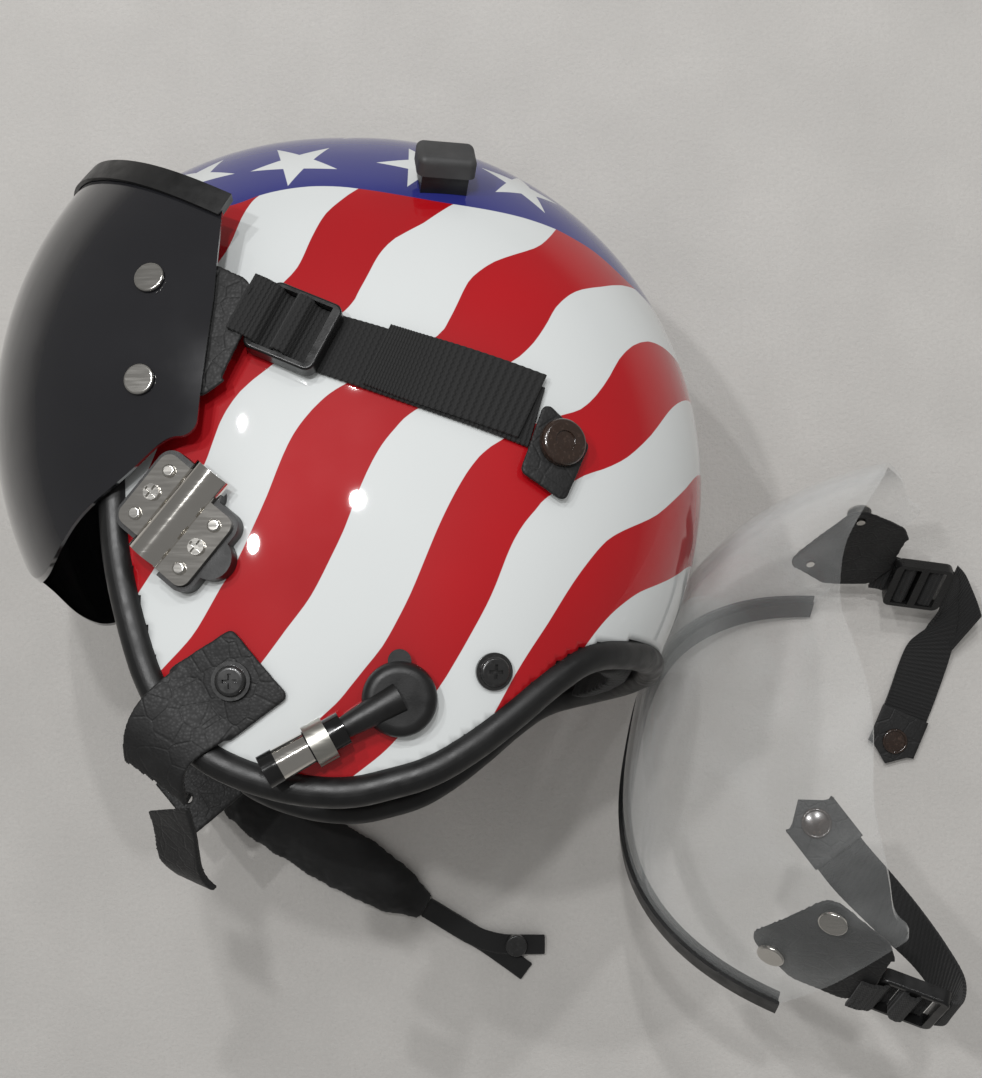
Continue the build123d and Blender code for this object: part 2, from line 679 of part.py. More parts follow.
def make_bumper():
    plane = seat(*at(*BUMPER_SHARE))
    neck_height = BUMPER_HEIGHT / 2
    neck = Box(BUMPER_LENGTH * CROWN_SHARE, BUMPER_WIDTH * CROWN_SHARE, neck_height + OVERRUN / 2, align=ON_BASE)
    head = Box(BUMPER_LENGTH, BUMPER_WIDTH, BUMPER_HEIGHT - neck_height, align=ON_BASE)
    head = fillet(head.edges().filter_by(Axis.Z), BUMPER_WIDTH / 5)
    head = fillet(head.edges().group_by(Axis.Z)[-1], BUMPER_WIDTH / 6)
    neck = (plane * Pos(0, 0, -OVERRUN / 2) * neck) - OFF_SKIN
    return neck, plane * Pos(0, 0, neck_height) * head


# Visor
def lens_profile(drop):
    """Section of the lens's form through the pivot, from the right side to the left."""
    points = []
    for step in range(PROFILE_STEPS + 1):
        turn = pi * (step / PROFILE_STEPS - 1 / 2)
        out = (LENS_ARC_RADIUS - drop) * abs(cos(turn)) ** (2 / LENS_POWER)
        side = (LENS_HALF_WIDTH - drop) * copysign(abs(sin(turn)) ** (2 / LENS_POWER), turn)
        points.append((out, 0, side))
    return Spline(*points, tangents=[(1, 0, 0), (-1, 0, 0)])


def lens_layer(outer_drop, inner_drop):
    """A layer of the lens's form, round about the pivot, between two depths."""
    outer = lens_profile(outer_drop)
    inner = lens_profile(inner_drop)
    face = make_face([outer, Line(outer @ 1, inner @ 1), inner, Line(inner @ 0, outer @ 0)])
    return Pos(-PIVOT_FORWARD, PIVOT_LEVEL, 0) * revolve(face, axis=Axis.Z)


def top_line():
    """Rear place and direction of the lens's straight top edge in the side view."""
    rear = Vector(*at(*LENS_TOP_SHARES[0]), 0)
    front = Vector(*at(*LENS_TOP_SHARES[1]), 0)
    return rear, (front - rear).normalized()


def lens_outline():
    rear, along = top_line()
    far = rear + along * FRONT_REACH
    lower = [at(*share) for share in LENS_LOWER_SHARES]
    back = [at(*share) for share in reversed(LENS_REAR_SHARES[1:])]
    nose = lower[-1]
    edge = Spline(back[0], *lower)
    front = Polyline(nose, (far.X, nose[1]), (far.X, far.Y), (rear.X, rear.Y), *reversed(back))
    face = make_face([edge, front])
    corner = face.vertices().sort_by_distance((*back[0], 0))[0]
    return fillet(corner, LENS_CORNER)


def lens_prism():
    return extrude(lens_outline(), HALF_WIDTH + 2 * OVERRUN, both=True)


def make_lens():
    return lens_layer(0, LENS_WALL) & lens_prism()


def make_trim():
    """The rubber channel along the lens's top edge."""
    rear, along = top_line()
    up = Vector(along.Y, -along.X, 0)
    if up.Y < 0:
        up = -up
    low = rear - up * TRIM_BITE
    high = rear + up * (TRIM_WIDTH - TRIM_BITE)
    strip = make_face(Polyline(low, low + along * FRONT_REACH, high + along * FRONT_REACH, high, close=True))
    block = extrude(strip, HALF_WIDTH + 2 * OVERRUN, both=True)
    groove = lens_layer(-CLEARANCE, LENS_WALL + CLEARANCE) & lens_prism()
    return (lens_layer(-TRIM_LIP, LENS_WALL + TRIM_LIP) & block) - groove


def yoke_shape():
    outline = rounded([at(*share) for share in YOKE_SHARES], YOKE_CORNER)
    inner = LENS_WALL + CLEARANCE
    return side_prism(outline) & lens_layer(inner, inner + YOKE_THICKNESS)


def lens_seat(share):
    """A plane on the lens's outer face over a place in the side view."""
    x, y = at(*share)
    out_x = x + PIVOT_FORWARD
    out_y = y - PIVOT_LEVEL
    out = hypot(out_x, out_y)
    out_share = out / LENS_ARC_RADIUS
    side_share = (1 - out_share**LENS_POWER) ** (1 / LENS_POWER)
    slope = out_share ** (LENS_POWER - 1) / LENS_ARC_RADIUS / out
    normal = Vector(out_x * slope, out_y * slope, side_share ** (LENS_POWER - 1) / LENS_HALF_WIDTH)
    return Plane(origin=(x, y, LENS_HALF_WIDTH * side_share), x_dir=(1, 0, -normal.X / normal.Z), z_dir=normal)


def make_rivets():
    """Rivets through lens and yoke: head outside, washer inside."""
    rivets = []
    depth = LENS_WALL + CLEARANCE + YOKE_THICKNESS
    for share in RIVET_SHARES:
        head = Pos(0, 0, CLEARANCE / 2) * Cylinder(RIVET_RADIUS, RIVET_HEAD, align=ON_BASE)
        head = fillet(head.edges().group_by(Axis.Z)[-1], RIVET_HEAD / 2)
        shank = Pos(0, 0, -depth - RIVET_HEAD) * Cylinder(SHANK_RADIUS, depth + 2 * RIVET_HEAD, align=ON_BASE)
        rivets.append(lens_seat(share) * (head + shank))
    return rivets


def rivet_holes():
    return [lens_seat(share) * Cylinder(SHANK_RADIUS + CLEARANCE / 2, 2 * OVERRUN) for share in RIVET_SHARES]


def buckle_plane():
    return seat(*at(*BUCKLE_SHARE), spin=STRAP_SLOPE, grow=STRAP_CLEARANCE + WEBBING_THICKNESS + CLEARANCE)


def make_buckle():
    """Ladder buckle: a frame with two slots and three cross bars."""
    frame = Box(BUCKLE_LENGTH, BUCKLE_WIDTH, BUCKLE_THICKNESS, align=ON_BASE)
    frame = fillet(frame.edges().filter_by(Axis.Z), BUCKLE_BAR)
    frame = fillet(frame.edges().group_by(Axis.Z)[-1], BUCKLE_BAR / 4)
    slot_length = (BUCKLE_LENGTH - 3 * BUCKLE_BAR) / 2
    slot = Box(slot_length, WEBBING_WIDTH + BUCKLE_SLOT_PLAY, 4 * BUCKLE_THICKNESS)
    for side in (-1, 1):
        frame -= Pos(side * (slot_length + BUCKLE_BAR) / 2, 0, 0) * slot
    return buckle_plane() * frame


def make_yoke():
    yoke = yoke_shape()
    keep_off = buckle_plane() * Pos(0, 0, -OVERRUN) * Box(
        BUCKLE_LENGTH + 2 * CLEARANCE, 2 * BUCKLE_WIDTH, 3 * OVERRUN, align=ON_BASE
    )
    yoke -= keep_off
    for hole in rivet_holes():
        yoke -= hole
    return yoke


# Strap on the shell's side
def webbing():
    outline = make_face(Polyline(*[at(*share) for share in WEBBING_UPPER_SHARES + WEBBING_LOWER_SHARES], close=True))
    return (side_prism(outline) & dome(STRAP_CLEARANCE + WEBBING_THICKNESS)) - dome(STRAP_CLEARANCE)


def strap_tab():
    outline = rounded([at(*share) for share in TAB_SHARES], TAB_CORNER)
    low = STRAP_CLEARANCE + WEBBING_THICKNESS + CLEARANCE
    tab = (side_prism(outline) & dome(low + TAB_THICKNESS)) - dome(low)
    return tab - shank_hole(seat(*at(*SNAP_SHARE)))


def snap_cap():
    low = STRAP_CLEARANCE + WEBBING_THICKNESS + 2 * CLEARANCE + TAB_THICKNESS
    cap = Cylinder(SNAP_RADIUS, SNAP_HEIGHT, align=ON_BASE)
    cap = fillet(cap.edges().group_by(Axis.Z)[-1], SNAP_HEIGHT / 2)
    ring = Pos(0, 0, SNAP_HEIGHT - RIVET_HEAD / 2) * (Cylinder(SNAP_RADIUS * HEAD_STEP_SHARE, SNAP_HEIGHT, align=ON_BASE))
    stem = Pos(0, 0, -TAB_THICKNESS) * Cylinder(SHANK_RADIUS, TAB_THICKNESS, align=ON_BASE)
    return seat(*at(*SNAP_SHARE)) * Pos(0, 0, low) * (cap - ring + stem)


def snap_post():
    low = STRAP_CLEARANCE + WEBBING_THICKNESS
    post = Pos(0, 0, CLEARANCE) * Cylinder(POST_RADIUS, low - CLEARANCE, align=ON_BASE)
    stem = Pos(0, 0, -SHELL_WALL) * Cylinder(SHANK_RADIUS, SHELL_WALL + low, align=ON_BASE)
    return seat(*at(*SNAP_SHARE)) * (post + stem)


# Chin strap: a tape from the right tongue to the ground, a padded sleeve, two tape ends
def tape(points):
    """A flat tape lying on the ground along a path."""
    path = FilletPolyline(*points, radius=bend_radii(points))
    heading = path % 0
    across = (-heading.Y, heading.X, 0)
    section = Rectangle(CHIN_TAPE_WIDTH, CHIN_STRAP_THICKNESS)
    return sweep(Plane(origin=path @ 0, x_dir=across, z_dir=heading) * section, path=path)


def make_sleeve():
    """The padded sleeve: a crowned cushion lying along X from the origin."""
    sections = []
    for along_share, width_share, thick_share in SLEEVE_SHARES:
        half = CHIN_PAD_WIDTH * width_share / 2
        top = CHIN_PAD_THICKNESS * thick_share
        edge = top * SLEEVE_EDGE_SHARE
        over = ThreePointArc((-half, edge), (0, top), (half, edge))
        under = ThreePointArc((half, edge), (0, 0), (-half, edge))
        plane = Plane(origin=(along_share * CHIN_PAD_LENGTH, 0, 0), x_dir=(0, 1, 0), z_dir=(1, 0, 0))
        sections.append(plane * make_face([over, under]))
    return loft(sections)


def make_chin_strap(drop):
    """Strap pieces in a frame on the ground below the hinge, with X along the sleeve."""
    thick = CHIN_STRAP_THICKNESS
    middle = CHIN_PAD_THICKNESS * SLEEVE_SHARES[0][2] / 2
    hang = ribbon(
        [(0, 0, drop), (-CHIN_SLACK, 0, drop / 2), (-CHIN_SLACK, 0, middle), (CHIN_RUN, 0, middle)],
        CHIN_STRAP_WIDTH,
        thick,
    )
    sleeve = Pos(CHIN_RUN + CLEARANCE, 0, 0) * make_sleeve()
    end = CHIN_RUN + CHIN_PAD_LENGTH + 2 * CLEARANCE
    fork = end + CHIN_FORK
    tapes = []
    lower_level = thick / 2 + CLEARANCE
    for level, length, turn in (
        (lower_level, CHIN_LOWER_TAIL, CHIN_LOWER_TURN),
        (lower_level + thick + CLEARANCE, CHIN_UPPER_TAIL, CHIN_UPPER_TURN),
    ):
        tip_x = fork + length * cos(radians(turn))
        tip_y = length * sin(radians(turn))
        tapes.append(tape([(end, 0, level), (fork, 0, level), (tip_x, tip_y, level)]))
    snap_x = fork + CHIN_UPPER_TAIL * cos(radians(CHIN_UPPER_TURN)) / 2
    snap_y = CHIN_UPPER_TAIL * sin(radians(CHIN_UPPER_TURN)) / 2
    snap_low = 2 * thick + 3 * CLEARANCE
    snap = Pos(snap_x, snap_y, snap_low) * Cylinder(CHIN_SNAP_RADIUS, CHIN_SNAP_HEIGHT, align=ON_BASE)
    snap = fillet(snap.edges().group_by(Axis.Z)[-1], CHIN_SNAP_HEIGHT / 3)
    return hang, sleeve, tapes, snap


# The whole helmet in its own frame
def visor_set():
    """Pieces of one visor, left side first."""
    lens = make_lens()
    trim = make_trim()
    buckle = make_buckle()
    yoke = make_yoke()
    for hole in rivet_holes():
        lens -= hole
        lens -= on_right(hole)
    rivets = make_rivets()
    return {
        "lens": [lens],
        "brow_trim": [trim],
        "yoke_left": [yoke],
        "yoke_right": [on_right(yoke)],
        "rivets": rivets + [on_right(rivet) for rivet in rivets],
        "buckle_left": [buckle],
        "buckle_right": [on_right(buckle)],
    }


def helmet_pieces():
    shell = make_shell()
    cup, seal, phone = make_ear_set()
    base, plate, screws, studs = make_receiver()
    side_screw = button(seat(*at(*SIDE_SCREW_SHARE)), SIDE_SCREW_RADIUS, SIDE_SCREW_HEAD, CLEARANCE, SHELL_WALL)
    chin_lift = CHIN_PATCH_THICKNESS + CLEARANCE
    chin_screw = button(
        seat(*at(*CHIN_SCREW_SHARE)), CHIN_WASHER_RADIUS, CHIN_SCREW_HEAD, chin_lift, chin_lift + SHELL_WALL
    )
    plug_body, plug_sleeve, plug_nose = make_plug()
    neck, head = make_bumper()
    strap = webbing()
    tab = strap_tab()
    cap = snap_cap()
    post = snap_post()
    pieces = {
        "outer_shell": [shell],
        "edge_roll": [make_edge_roll()],
        "foam_liner": [make_liner()],
        "nape_pad": [make_nape_pad()],
        "ear_cup_left": [cup],
        "ear_cup_right": [on_right(cup)],
        "ear_seal_left": [seal],
        "ear_seal_right": [on_right(seal)],
        "earphone_left": [phone],
        "earphone_right": [on_right(phone)],
        "receiver_base_left": [base],
        "receiver_base_right": [on_right(base)],
        "receiver_plate_left": [plate],
        "receiver_plate_right": [on_right(plate)],
        "receiver_screws": screws + [on_right(screw) for screw in screws],
        "receiver_studs": studs + [on_right(stud) for stud in studs],
        "side_screws": [side_screw, on_right(side_screw)],
        "chin_screws": [chin_screw, on_right(chin_screw)],
        "chin_tab_left": [make_left_tab()],
        "chin_tab_right": [make_right_tab()],
        "snap_posts": [post, on_right(post)],
        "snap_cap_left": [cap],
        "snap_cap_right": [on_right(cap)],
        "strap_tab_left": [tab],
        "strap_tab_right": [on_right(tab)],
        "visor_strap_left": [strap],
        "visor_strap_right": [on_right(strap)],
        "comm_boot": [make_boot()],
        "plug_body": [plug_body],
        "plug_sleeve": [plug_sleeve],
        "plug_nose": [plug_nose],
        "plug_clip": [make_plug_clip()],
        "bumper_neck": [neck],
        "bumper_head": [head],
    }
    for name, pad in make_pads().items():
        pieces[name] = [pad]
    return pieces


# Laying everything down on the ground
def lay(pieces, turn, x, y):
    """Turn a set of pieces, stand it on the ground and move it to its place."""
    turned = {name: [turn * solid for solid in solids] for name, solids in pieces.items()}
    lowest = min(solid.bounding_box().min.Z for solids in turned.values() for solid in solids)
    return {name: [Pos(x, y, -lowest) * solid for solid in solids] for name, solids in turned.items()}, lowest


def strap_end_place():
    """Where the right tongue ends, in the helmet's own frame."""
    plane = chin_fold_plane()
    spot = plane.from_local_coords((TONGUE_LENGTH - CHIN_STRAP_WIDTH / 2, 0, 0))
    rise = FLAP_LENGTH * FLAP_SHARES[1][2] + CHIN_PATCH_THICKNESS / 2
    return Pos(spot.X, spot.Y, -spot.Z - rise)


def main():
    os.makedirs("parts", exist_ok=True)
    helmet = helmet_pieces()
    visor = visor_set()
    for name, solids in visor.items():
        helmet["visor_" + name] = solids
    spare = {"spare_" + name: solids for name, solids in visor.items()}
    placed, lowest = lay(helmet, Rot(0, REST_YAW, 0) * Rot(-REST_LEAN, 0, 0), HELMET_PLACE_X, HELMET_PLACE_Y)
    spare_turn = Rot(0, 0, SPARE_TURN_Z) * Rot(0, SPARE_TURN_Y, 0) * Rot(SPARE_TURN_X, 0, 0)
    spare_placed, spare_lowest = lay(spare, spare_turn, SPARE_PLACE_X, SPARE_PLACE_Y)
    placed.update(spare_placed)
    fold = Pos(HELMET_PLACE_X, HELMET_PLACE_Y, -lowest) * Rot(0, REST_YAW, 0) * Rot(-REST_LEAN, 0, 0)
    fold = fold * strap_end_place()
    hinge = fold.position
    ground = Pos(hinge.X, hinge.Y, 0) * Rot(0, 0, CHIN_DIP)
    hang, sleeve, tapes, snap = make_chin_strap(hinge.Z - CHIN_GAP)
    placed["chin_strap"] = [ground * hang] + [ground * end for end in tapes]
    placed["chin_sleeve"] = [ground * sleeve]
    placed["chin_snap"] = [ground * snap]
    boxes = [solid.bounding_box() for solids in placed.values() for solid in solids]
    middle_x = (min(box.min.X for box in boxes) + max(box.max.X for box in boxes)) / 2
    middle_y = (min(box.min.Y for box in boxes) + max(box.max.Y for box in boxes)) / 2
    for name, solids in placed.items():
        solids = [Pos(-middle_x, -middle_y, 0) * solid for solid in solids]
        group = solids[0] if len(solids) == 1 else Compound(children=solids)
        export_step(group, os.path.join("parts", name + ".step"))
    print("helmet origin", HELMET_PLACE_X - middle_x, HELMET_PLACE_Y - middle_y, -lowest)
    print("spare origin", SPARE_PLACE_X - middle_x, SPARE_PLACE_Y - middle_y, -spare_lowest)
    print("chin hinge", hinge.X - middle_x, hinge.Y - middle_y, hinge.Z)


main()
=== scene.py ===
import json
from math import copysign, cos, pi, radians, sin, sqrt

import bpy
from mathutils import Matrix, Vector, noise
from mathutils.bvhtree import BVHTree


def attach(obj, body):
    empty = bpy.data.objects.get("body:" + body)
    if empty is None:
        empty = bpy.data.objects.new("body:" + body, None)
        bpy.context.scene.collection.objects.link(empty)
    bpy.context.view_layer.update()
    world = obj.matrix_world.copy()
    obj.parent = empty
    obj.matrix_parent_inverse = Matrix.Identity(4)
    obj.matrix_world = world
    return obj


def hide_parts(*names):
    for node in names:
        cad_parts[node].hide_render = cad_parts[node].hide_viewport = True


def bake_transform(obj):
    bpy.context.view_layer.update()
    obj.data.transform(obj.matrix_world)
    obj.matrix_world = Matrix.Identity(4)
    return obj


bl_info = {
    "name": "Flight Helmet Finish",
    "version": (1, 0, 0),
    "blender": (4, 5, 0),
    "location": "3D View > Sidebar > Helmet",
    "description": "Paints the shell, models the soft goods and lights the helmet",
    "category": "Object",
}

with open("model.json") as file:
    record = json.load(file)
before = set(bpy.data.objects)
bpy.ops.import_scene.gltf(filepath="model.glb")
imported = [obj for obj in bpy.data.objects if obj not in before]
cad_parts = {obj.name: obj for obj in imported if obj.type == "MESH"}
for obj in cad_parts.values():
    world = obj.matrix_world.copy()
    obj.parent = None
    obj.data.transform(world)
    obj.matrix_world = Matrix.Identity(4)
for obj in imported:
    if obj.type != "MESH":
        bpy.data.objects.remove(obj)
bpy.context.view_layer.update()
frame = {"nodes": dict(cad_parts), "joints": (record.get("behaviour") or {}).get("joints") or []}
NODES = frame["nodes"]
JOINTS = {joint["name"]: joint for joint in frame["joints"]}
MM = 0.001

# How the helmet lies: its own axes are X to the back of the head, Y to the crown, Z to the left
LEAN = radians(12.5)
YAW = radians(4.0)
TURN = Matrix.Rotation(YAW, 3, "Y") @ Matrix.Rotation(-LEAN, 3, "X")
PIVOT_SPOT = Vector((-21.7, 25.3, 0.0))
HELMET_ORIGIN = Vector(JOINTS["visor_raise"]["pos_m"]) - TURN @ PIVOT_SPOT * MM

# How the spare visor lies
SPARE_TURN = (
    Matrix.Rotation(radians(-30.3), 3, "Z")
    @ Matrix.Rotation(radians(15.8), 3, "Y")
    @ Matrix.Rotation(radians(-133.1), 3, "X")
)
SPARE_ORIGIN = Vector((252.85423, -91.42299, 121.81895)) * MM

# The shell's form, in millimetres
CROWN = 165.0
SKIRT = 152.0
BACK = 131.5
FRONT = 195.0
CROWN_FORWARD = 35.0
WIDEST_FORWARD = 8.0
HALF_WIDTH = 118.0
SKIRT_TUCK = 18.0
NAPE_TUCK = 72.0
RING_POWER = 2.3
SIDE_POWER = 2.15
WALL = 3.2
AROUND, SKIRT_ROWS, CROWN_ROWS = 300, 52, 92

# Edges of the painted stripes on the left side, from the front to the nape, each from the
# blue field or the back of the head down to the rim
STRIPE_EDGES = (
    ((-84, 108), (-92, 96), (-99, 84), (-106, 68), (-116, 48), (-128, 26), (-138, 2), (-146, -20)),
    ((-61, 109), (-68.4, 103.5), (-71.8, 99.2), (-75.3, 90.7), (-77.9, 81), (-80.7, 73.2), (-85, 65.9),
     (-92, 54), (-102, 34), (-112, 10), (-119, -10), (-126, -32)),
    ((-16, 113), (-26.7, 105.9), (-33.8, 98.9), (-40, 91.3), (-43.8, 83), (-46.7, 75.1), (-49.6, 66.5),
     (-53.3, 60.1), (-61.6, 51.4), (-77, 38), (-90, 20), (-100, 0), (-108.6, -20.7), (-111.7, -29.3), (-118, -46)),
    ((28, 108), (12.3, 97.4), (0.6, 86.5), (-11.3, 78), (-17.6, 70), (-21.5, 61.5), (-26.1, 51.5), (-30.7, 43.6),
     (-49.2, 28.2), (-68, 13.4), (-75.3, 5.4), (-80.4, -3.8), (-84.7, -16.8), (-91.7, -33.9), (-98.5, -49.4),
     (-105.9, -61.3), (-116, -76)),
    ((64, 104), (58.4, 92.9), (53.2, 84.4), (47.7, 78.6), (38.3, 73.3), (29.9, 68.6), (23.3, 63.1), (18.4, 57.2),
     (14.3, 47.9), (10.2, 38.9), (5.5, 32), (-11.4, 20.6), (-30.7, 11.4), (-39.7, 5.1), (-47.9, -4.2), (-53, -12.7),
     (-57.4, -23.4), (-61, -33.2), (-66.8, -46.6), (-73, -59.9), (-78.5, -68.5), (-85.1, -80.1), (-90.6, -88.3),
     (-99.9, -97.8), (-112, -110)),
    ((118, 77), (100, 75), (87.9, 71.3), (77.2, 65.7), (67.8, 61.3), (61.5, 56.9), (55.1, 49.5), (51.5, 42.5),
     (47.1, 34.9), (42.1, 28.3), (34, 21.2), (14.4, 10.1), (-4.3, -0.1), (-11.1, -6.8), (-17.1, -14.6),
     (-22.3, -24.6), (-26.7, -35.3), (-31.1, -47.3), (-36.3, -58.4), (-41.4, -68.7), (-45.8, -76), (-53.1, -85.4),
     (-61.1, -96.1), (-74, -112), (-90, -130)),
    ((134, 42), (120, 44.5), (109.8, 45.8), (105, 46), (97.9, 44.7), (89.5, 39.2), (82.4, 30.7), (77.4, 21.6),
     (70.9, 11.9), (64, 5), (56.5, 1.7), (40.4, -5.2), (26, -14), (19.4, -20.9), (14.5, -28.4), (9.6, -37.5),
     (4.7, -48), (-0.9, -61.6), (-5.6, -72.7), (-10.4, -82.2), (-16.1, -92.2), (-22.7, -100.4), (-29.4, -108.6),
     (-34.3, -114.2), (-47.9, -125.7), (-62.5, -135), (-80, -148)),
    ((138, 30), (124, 28.5), (114.8, 22.7), (107.9, 15.9), (102.9, 9.3), (96.1, 0), (87.8, -8.9), (81, -14.5),
     (72.6, -19.2), (64.6, -22.7), (48.9, -32.9), (44.6, -37.7), (39.6, -43.7), (35.4, -50.4), (32, -57.8),
     (27.9, -68.3), (23.8, -77.1), (18.1, -87.4), (11.7, -98.4), (3.9, -110.4), (-9.4, -125.9), (-17.7, -134),
     (-30.2, -143.2), (-45, -155)),
    ((136, -2), (127, -4.5), (120.5, -10), (114.5, -17.2), (107.1, -24.9), (98.3, -33.1), (90.1, -38.2),
     (81.4, -42.9), (73.9, -48), (66.7, -56.2), (59.6, -65.7), (53.6, -74.9), (48.4, -83.1), (41.7, -92.9),
     (35.1, -103.3), (28, -116), (18, -132), (4, -150)),
    ((130, -43), (120, -46.5), (112.1, -52.7), (104.6, -57.9), (96.8, -62.2), (89.5, -66), (82.6, -71), (76, -76.7),
     (69.6, -83.8), (62, -94), (54, -106), (44, -122)),
)
FIELD_EDGE = (
    (-175, 88), (-140, 91), (-110, 93.5), (-97, 95.5), (-82.4, 98.2), (-75.2, 100.4), (-68.4, 103.5), (-58.4, 106.2),
    (-46.2, 107.7), (-34, 107.1), (-26.7, 105.9), (-17.7, 104.2), (-1.5, 100.7), (12.3, 98.4), (30.4, 96.8),
    (44.6, 95.4), (58.4, 92.9), (66.2, 90.2), (75.2, 86.7), (82.7, 82), (90, 77), (100, 72), (113, 69), (130, 68),
)
# Stars on the blue field, seen from the crown: forward place and sideways place
STAR_SPOTS = (
    (-99, 69), (-54, 79), (1, 82), (45, 72),
    (-78, 33), (-27, 39), (25, 37), (70, 24),
)
STAR_TILT = 14.0
STAR_POINT = radians(72)
STAR_DEPTH = 1.6

# The camera looks straight down: its lens, its height and its place from the helmet's origin
CAMERA_LENS = 49.79
CAMERA_HEIGHT = 0.8355
CAMERA_ASIDE = (0.0345, -0.0249)

# Webbing on the shell's side: its upper and lower edges in the side view
STRAP_TOP = ((-45.6, 44.1), (6.5, 27.3), (48.4, 11.6))
STRAP_FOOT = ((-56.4, 20.9), (-3.5, 1.6), (40.8, -13.5))
FOLD_TOP = ((-13.0, 35.0), (6.8, 28.8), (48.6, 16.2))
FOLD_FOOT = ((-24.0, 10.2), (-3.2, 2.4), (36.4, -10.4))

# Ladder buckle: its middle in the side view, the webbing's run through it, and the webbing's
# width. Each run gives places along the strap and heights above the buckle's base
BUCKLE_SPOT = (-51.03, 32.65)
STRAP_WAY = (0.904, -0.427)
BUCKLE_SEAT = 3.05
WEB_WIDTH = 25.4
FRONT_RUN = ((-22.0, 9.0), (-19.0, 9.0), (-16.4, 8.8), (-14.0, 8.0), (-12.2, 7.6), (-10.6, 5.6), (-9.8, 3.0),
             (-7.5, 1.1), (-4.6, 1.0))
REAR_RUN = ((10.5, 1.0), (8.0, 0.9), (5.6, 1.2), (3.7, 3.2), (3.0, 5.4), (2.2, 7.2), (0.0, 7.7), (-2.2, 7.2),
            (-3.0, 5.4), (-3.4, 3.2), (-3.9, 1.6))
# Loose straps of the spare visor: places on the run, with the way across the webbing
LOOSE_NEAR = (
    ((233.8, 2.4, 33.4), (0.12, 0.69, 0.71)), ((237.0, -2.0, 27.0), (0.2, 0.72, 0.66)),
    ((237.0, -13.0, 14.5), (0.5, 0.6, 0.6)), ((233.5, -29.0, 5.6), (0.9, 0.1, 0.35)),
    ((228.5, -46.0, 2.4), (0.97, -0.2, 0.1)), ((223.0, -62.0, 1.9), (0.95, -0.3, 0.0)),
    ((217.5, -75.0, 1.9), (0.94, -0.34, 0.0)),
)
LOOSE_NEAR_TAIL = (
    ((236.6, 5.6, 31.0), (0.12, 0.69, 0.71)), ((241.0, 1.0, 26.0), (0.2, 0.72, 0.66)),
    ((244.5, -6.0, 20.0), (0.35, 0.75, 0.55)), ((248.0, -15.0, 15.5), (0.5, 0.7, 0.45)),
    ((251.0, -23.0, 14.5), (0.5, 0.75, 0.4)),
)
LOOSE_FAR = (
    ((183.0, -175.2, 194.6), (0.09, 0.61, 0.79)), ((189.0, -176.0, 190.0), (0.09, 0.65, 0.76)),
    ((193.0, -172.0, 180.0), (0.1, 0.8, 0.58)), ((189.0, -163.0, 171.0), (0.1, 0.93, 0.35)),
    ((180.0, -150.0, 164.5), (0.15, 0.98, 0.1)), ((167.0, -136.0, 158.0), (0.4, 0.92, 0.0)),
    ((154.0, -122.0, 152.0), (0.6, 0.8, 0.0)), ((145.0, -110.0, 148.0), (0.65, 0.76, 0.0)),
)


def from_helmet(x, y, z):
    """A place in the row frame from the helmet's own axes in millimetres."""
    return HELMET_ORIGIN + TURN @ Vector((x, y, z)) * MM


def ring_sizes(level):
    """Front, back, widest place and half width of the shell at one level."""
    if level >= 0:
        rise = min(level / CROWN, 1.0)
        shrink = sqrt(max(1 - rise**2, 0))
        narrow = max(1 - rise**SIDE_POWER, 0) ** (1 / SIDE_POWER)
        front = -CROWN_FORWARD + (CROWN_FORWARD - FRONT) * shrink
        back = -CROWN_FORWARD + (BACK + CROWN_FORWARD) * shrink
        centre = -CROWN_FORWARD + (CROWN_FORWARD - WIDEST_FORWARD) * shrink
        return front, back, centre, HALF_WIDTH * narrow
    drop = -level / SKIRT
    return -FRONT, BACK - NAPE_TUCK * drop**2, -WIDEST_FORWARD, HALF_WIDTH - SKIRT_TUCK * drop**2


def half_width(x, level):
    """How far the shell stands out sideways at a place in the side view."""
    front, back, centre, half = ring_sizes(level)
    reach = centre - front if x < centre else back - centre
    share = min(abs(x - centre) / max(reach, MM), 1.0)
    return half * (1 - share**RING_POWER) ** (1 / RING_POWER)


def shell_spot(x, y, side, lift):
    """A place off the shell's side by a distance, with the way out, in the helmet's axes."""
    z = half_width(x, y)
    slope_x = (half_width(x + 1, y) - half_width(x - 1, y)) / 2
    slope_y = (half_width(x, y + 1) - half_width(x, y - 1)) / 2
    out = Vector((-slope_x, -slope_y, 1)).normalized()
    spot = Vector((x, y, z)) + out * lift
    return Vector((spot.x, spot.y, spot.z * side)), Vector((out.x, out.y, out.z * side))


def smooth_line(points, steps=6):
    """A curve through given points, as closely spaced places."""
    spots = [Vector(point) for point in points]
    spots = [spots[0] * 2 - spots[1]] + spots + [spots[-1] * 2 - spots[-2]]
    line = []
    for before, here, after, beyond in zip(spots, spots[1:], spots[2:], spots[3:]):
        for step in range(steps):
            t = step / steps
            line.append(
                (
                    here * 2
                    + (after - before) * t
                    + (before * 2 - here * 5 + after * 4 - beyond) * t**2
                    + (here * 3 - before - after * 3 + beyond) * t**3
                )
                / 2
            )
    line.append(spots[-2])
    return line


def place_on(line, share):
    """The place at a share of a line's points."""
    spot = min(max(share, 0.0), 1.0) * (len(line) - 1)
    first = min(int(spot), len(line) - 2)
    return line[first].lerp(line[first + 1], spot - first)


def deselect():
    bpy.ops.object.select_all(action="DESELECT")


def pick(piece):
    deselect()
    piece.select_set(True)
    bpy.context.view_layer.objects.active = piece


def finish_mesh(piece, kind, **settings):
    """One modifier, applied."""
    pick(piece)
    modifier = piece.modifiers.new(kind.title(), kind)
    for name, value in settings.items():
        setattr(modifier, name, value)
    bpy.ops.object.modifier_apply(modifier=modifier.name)


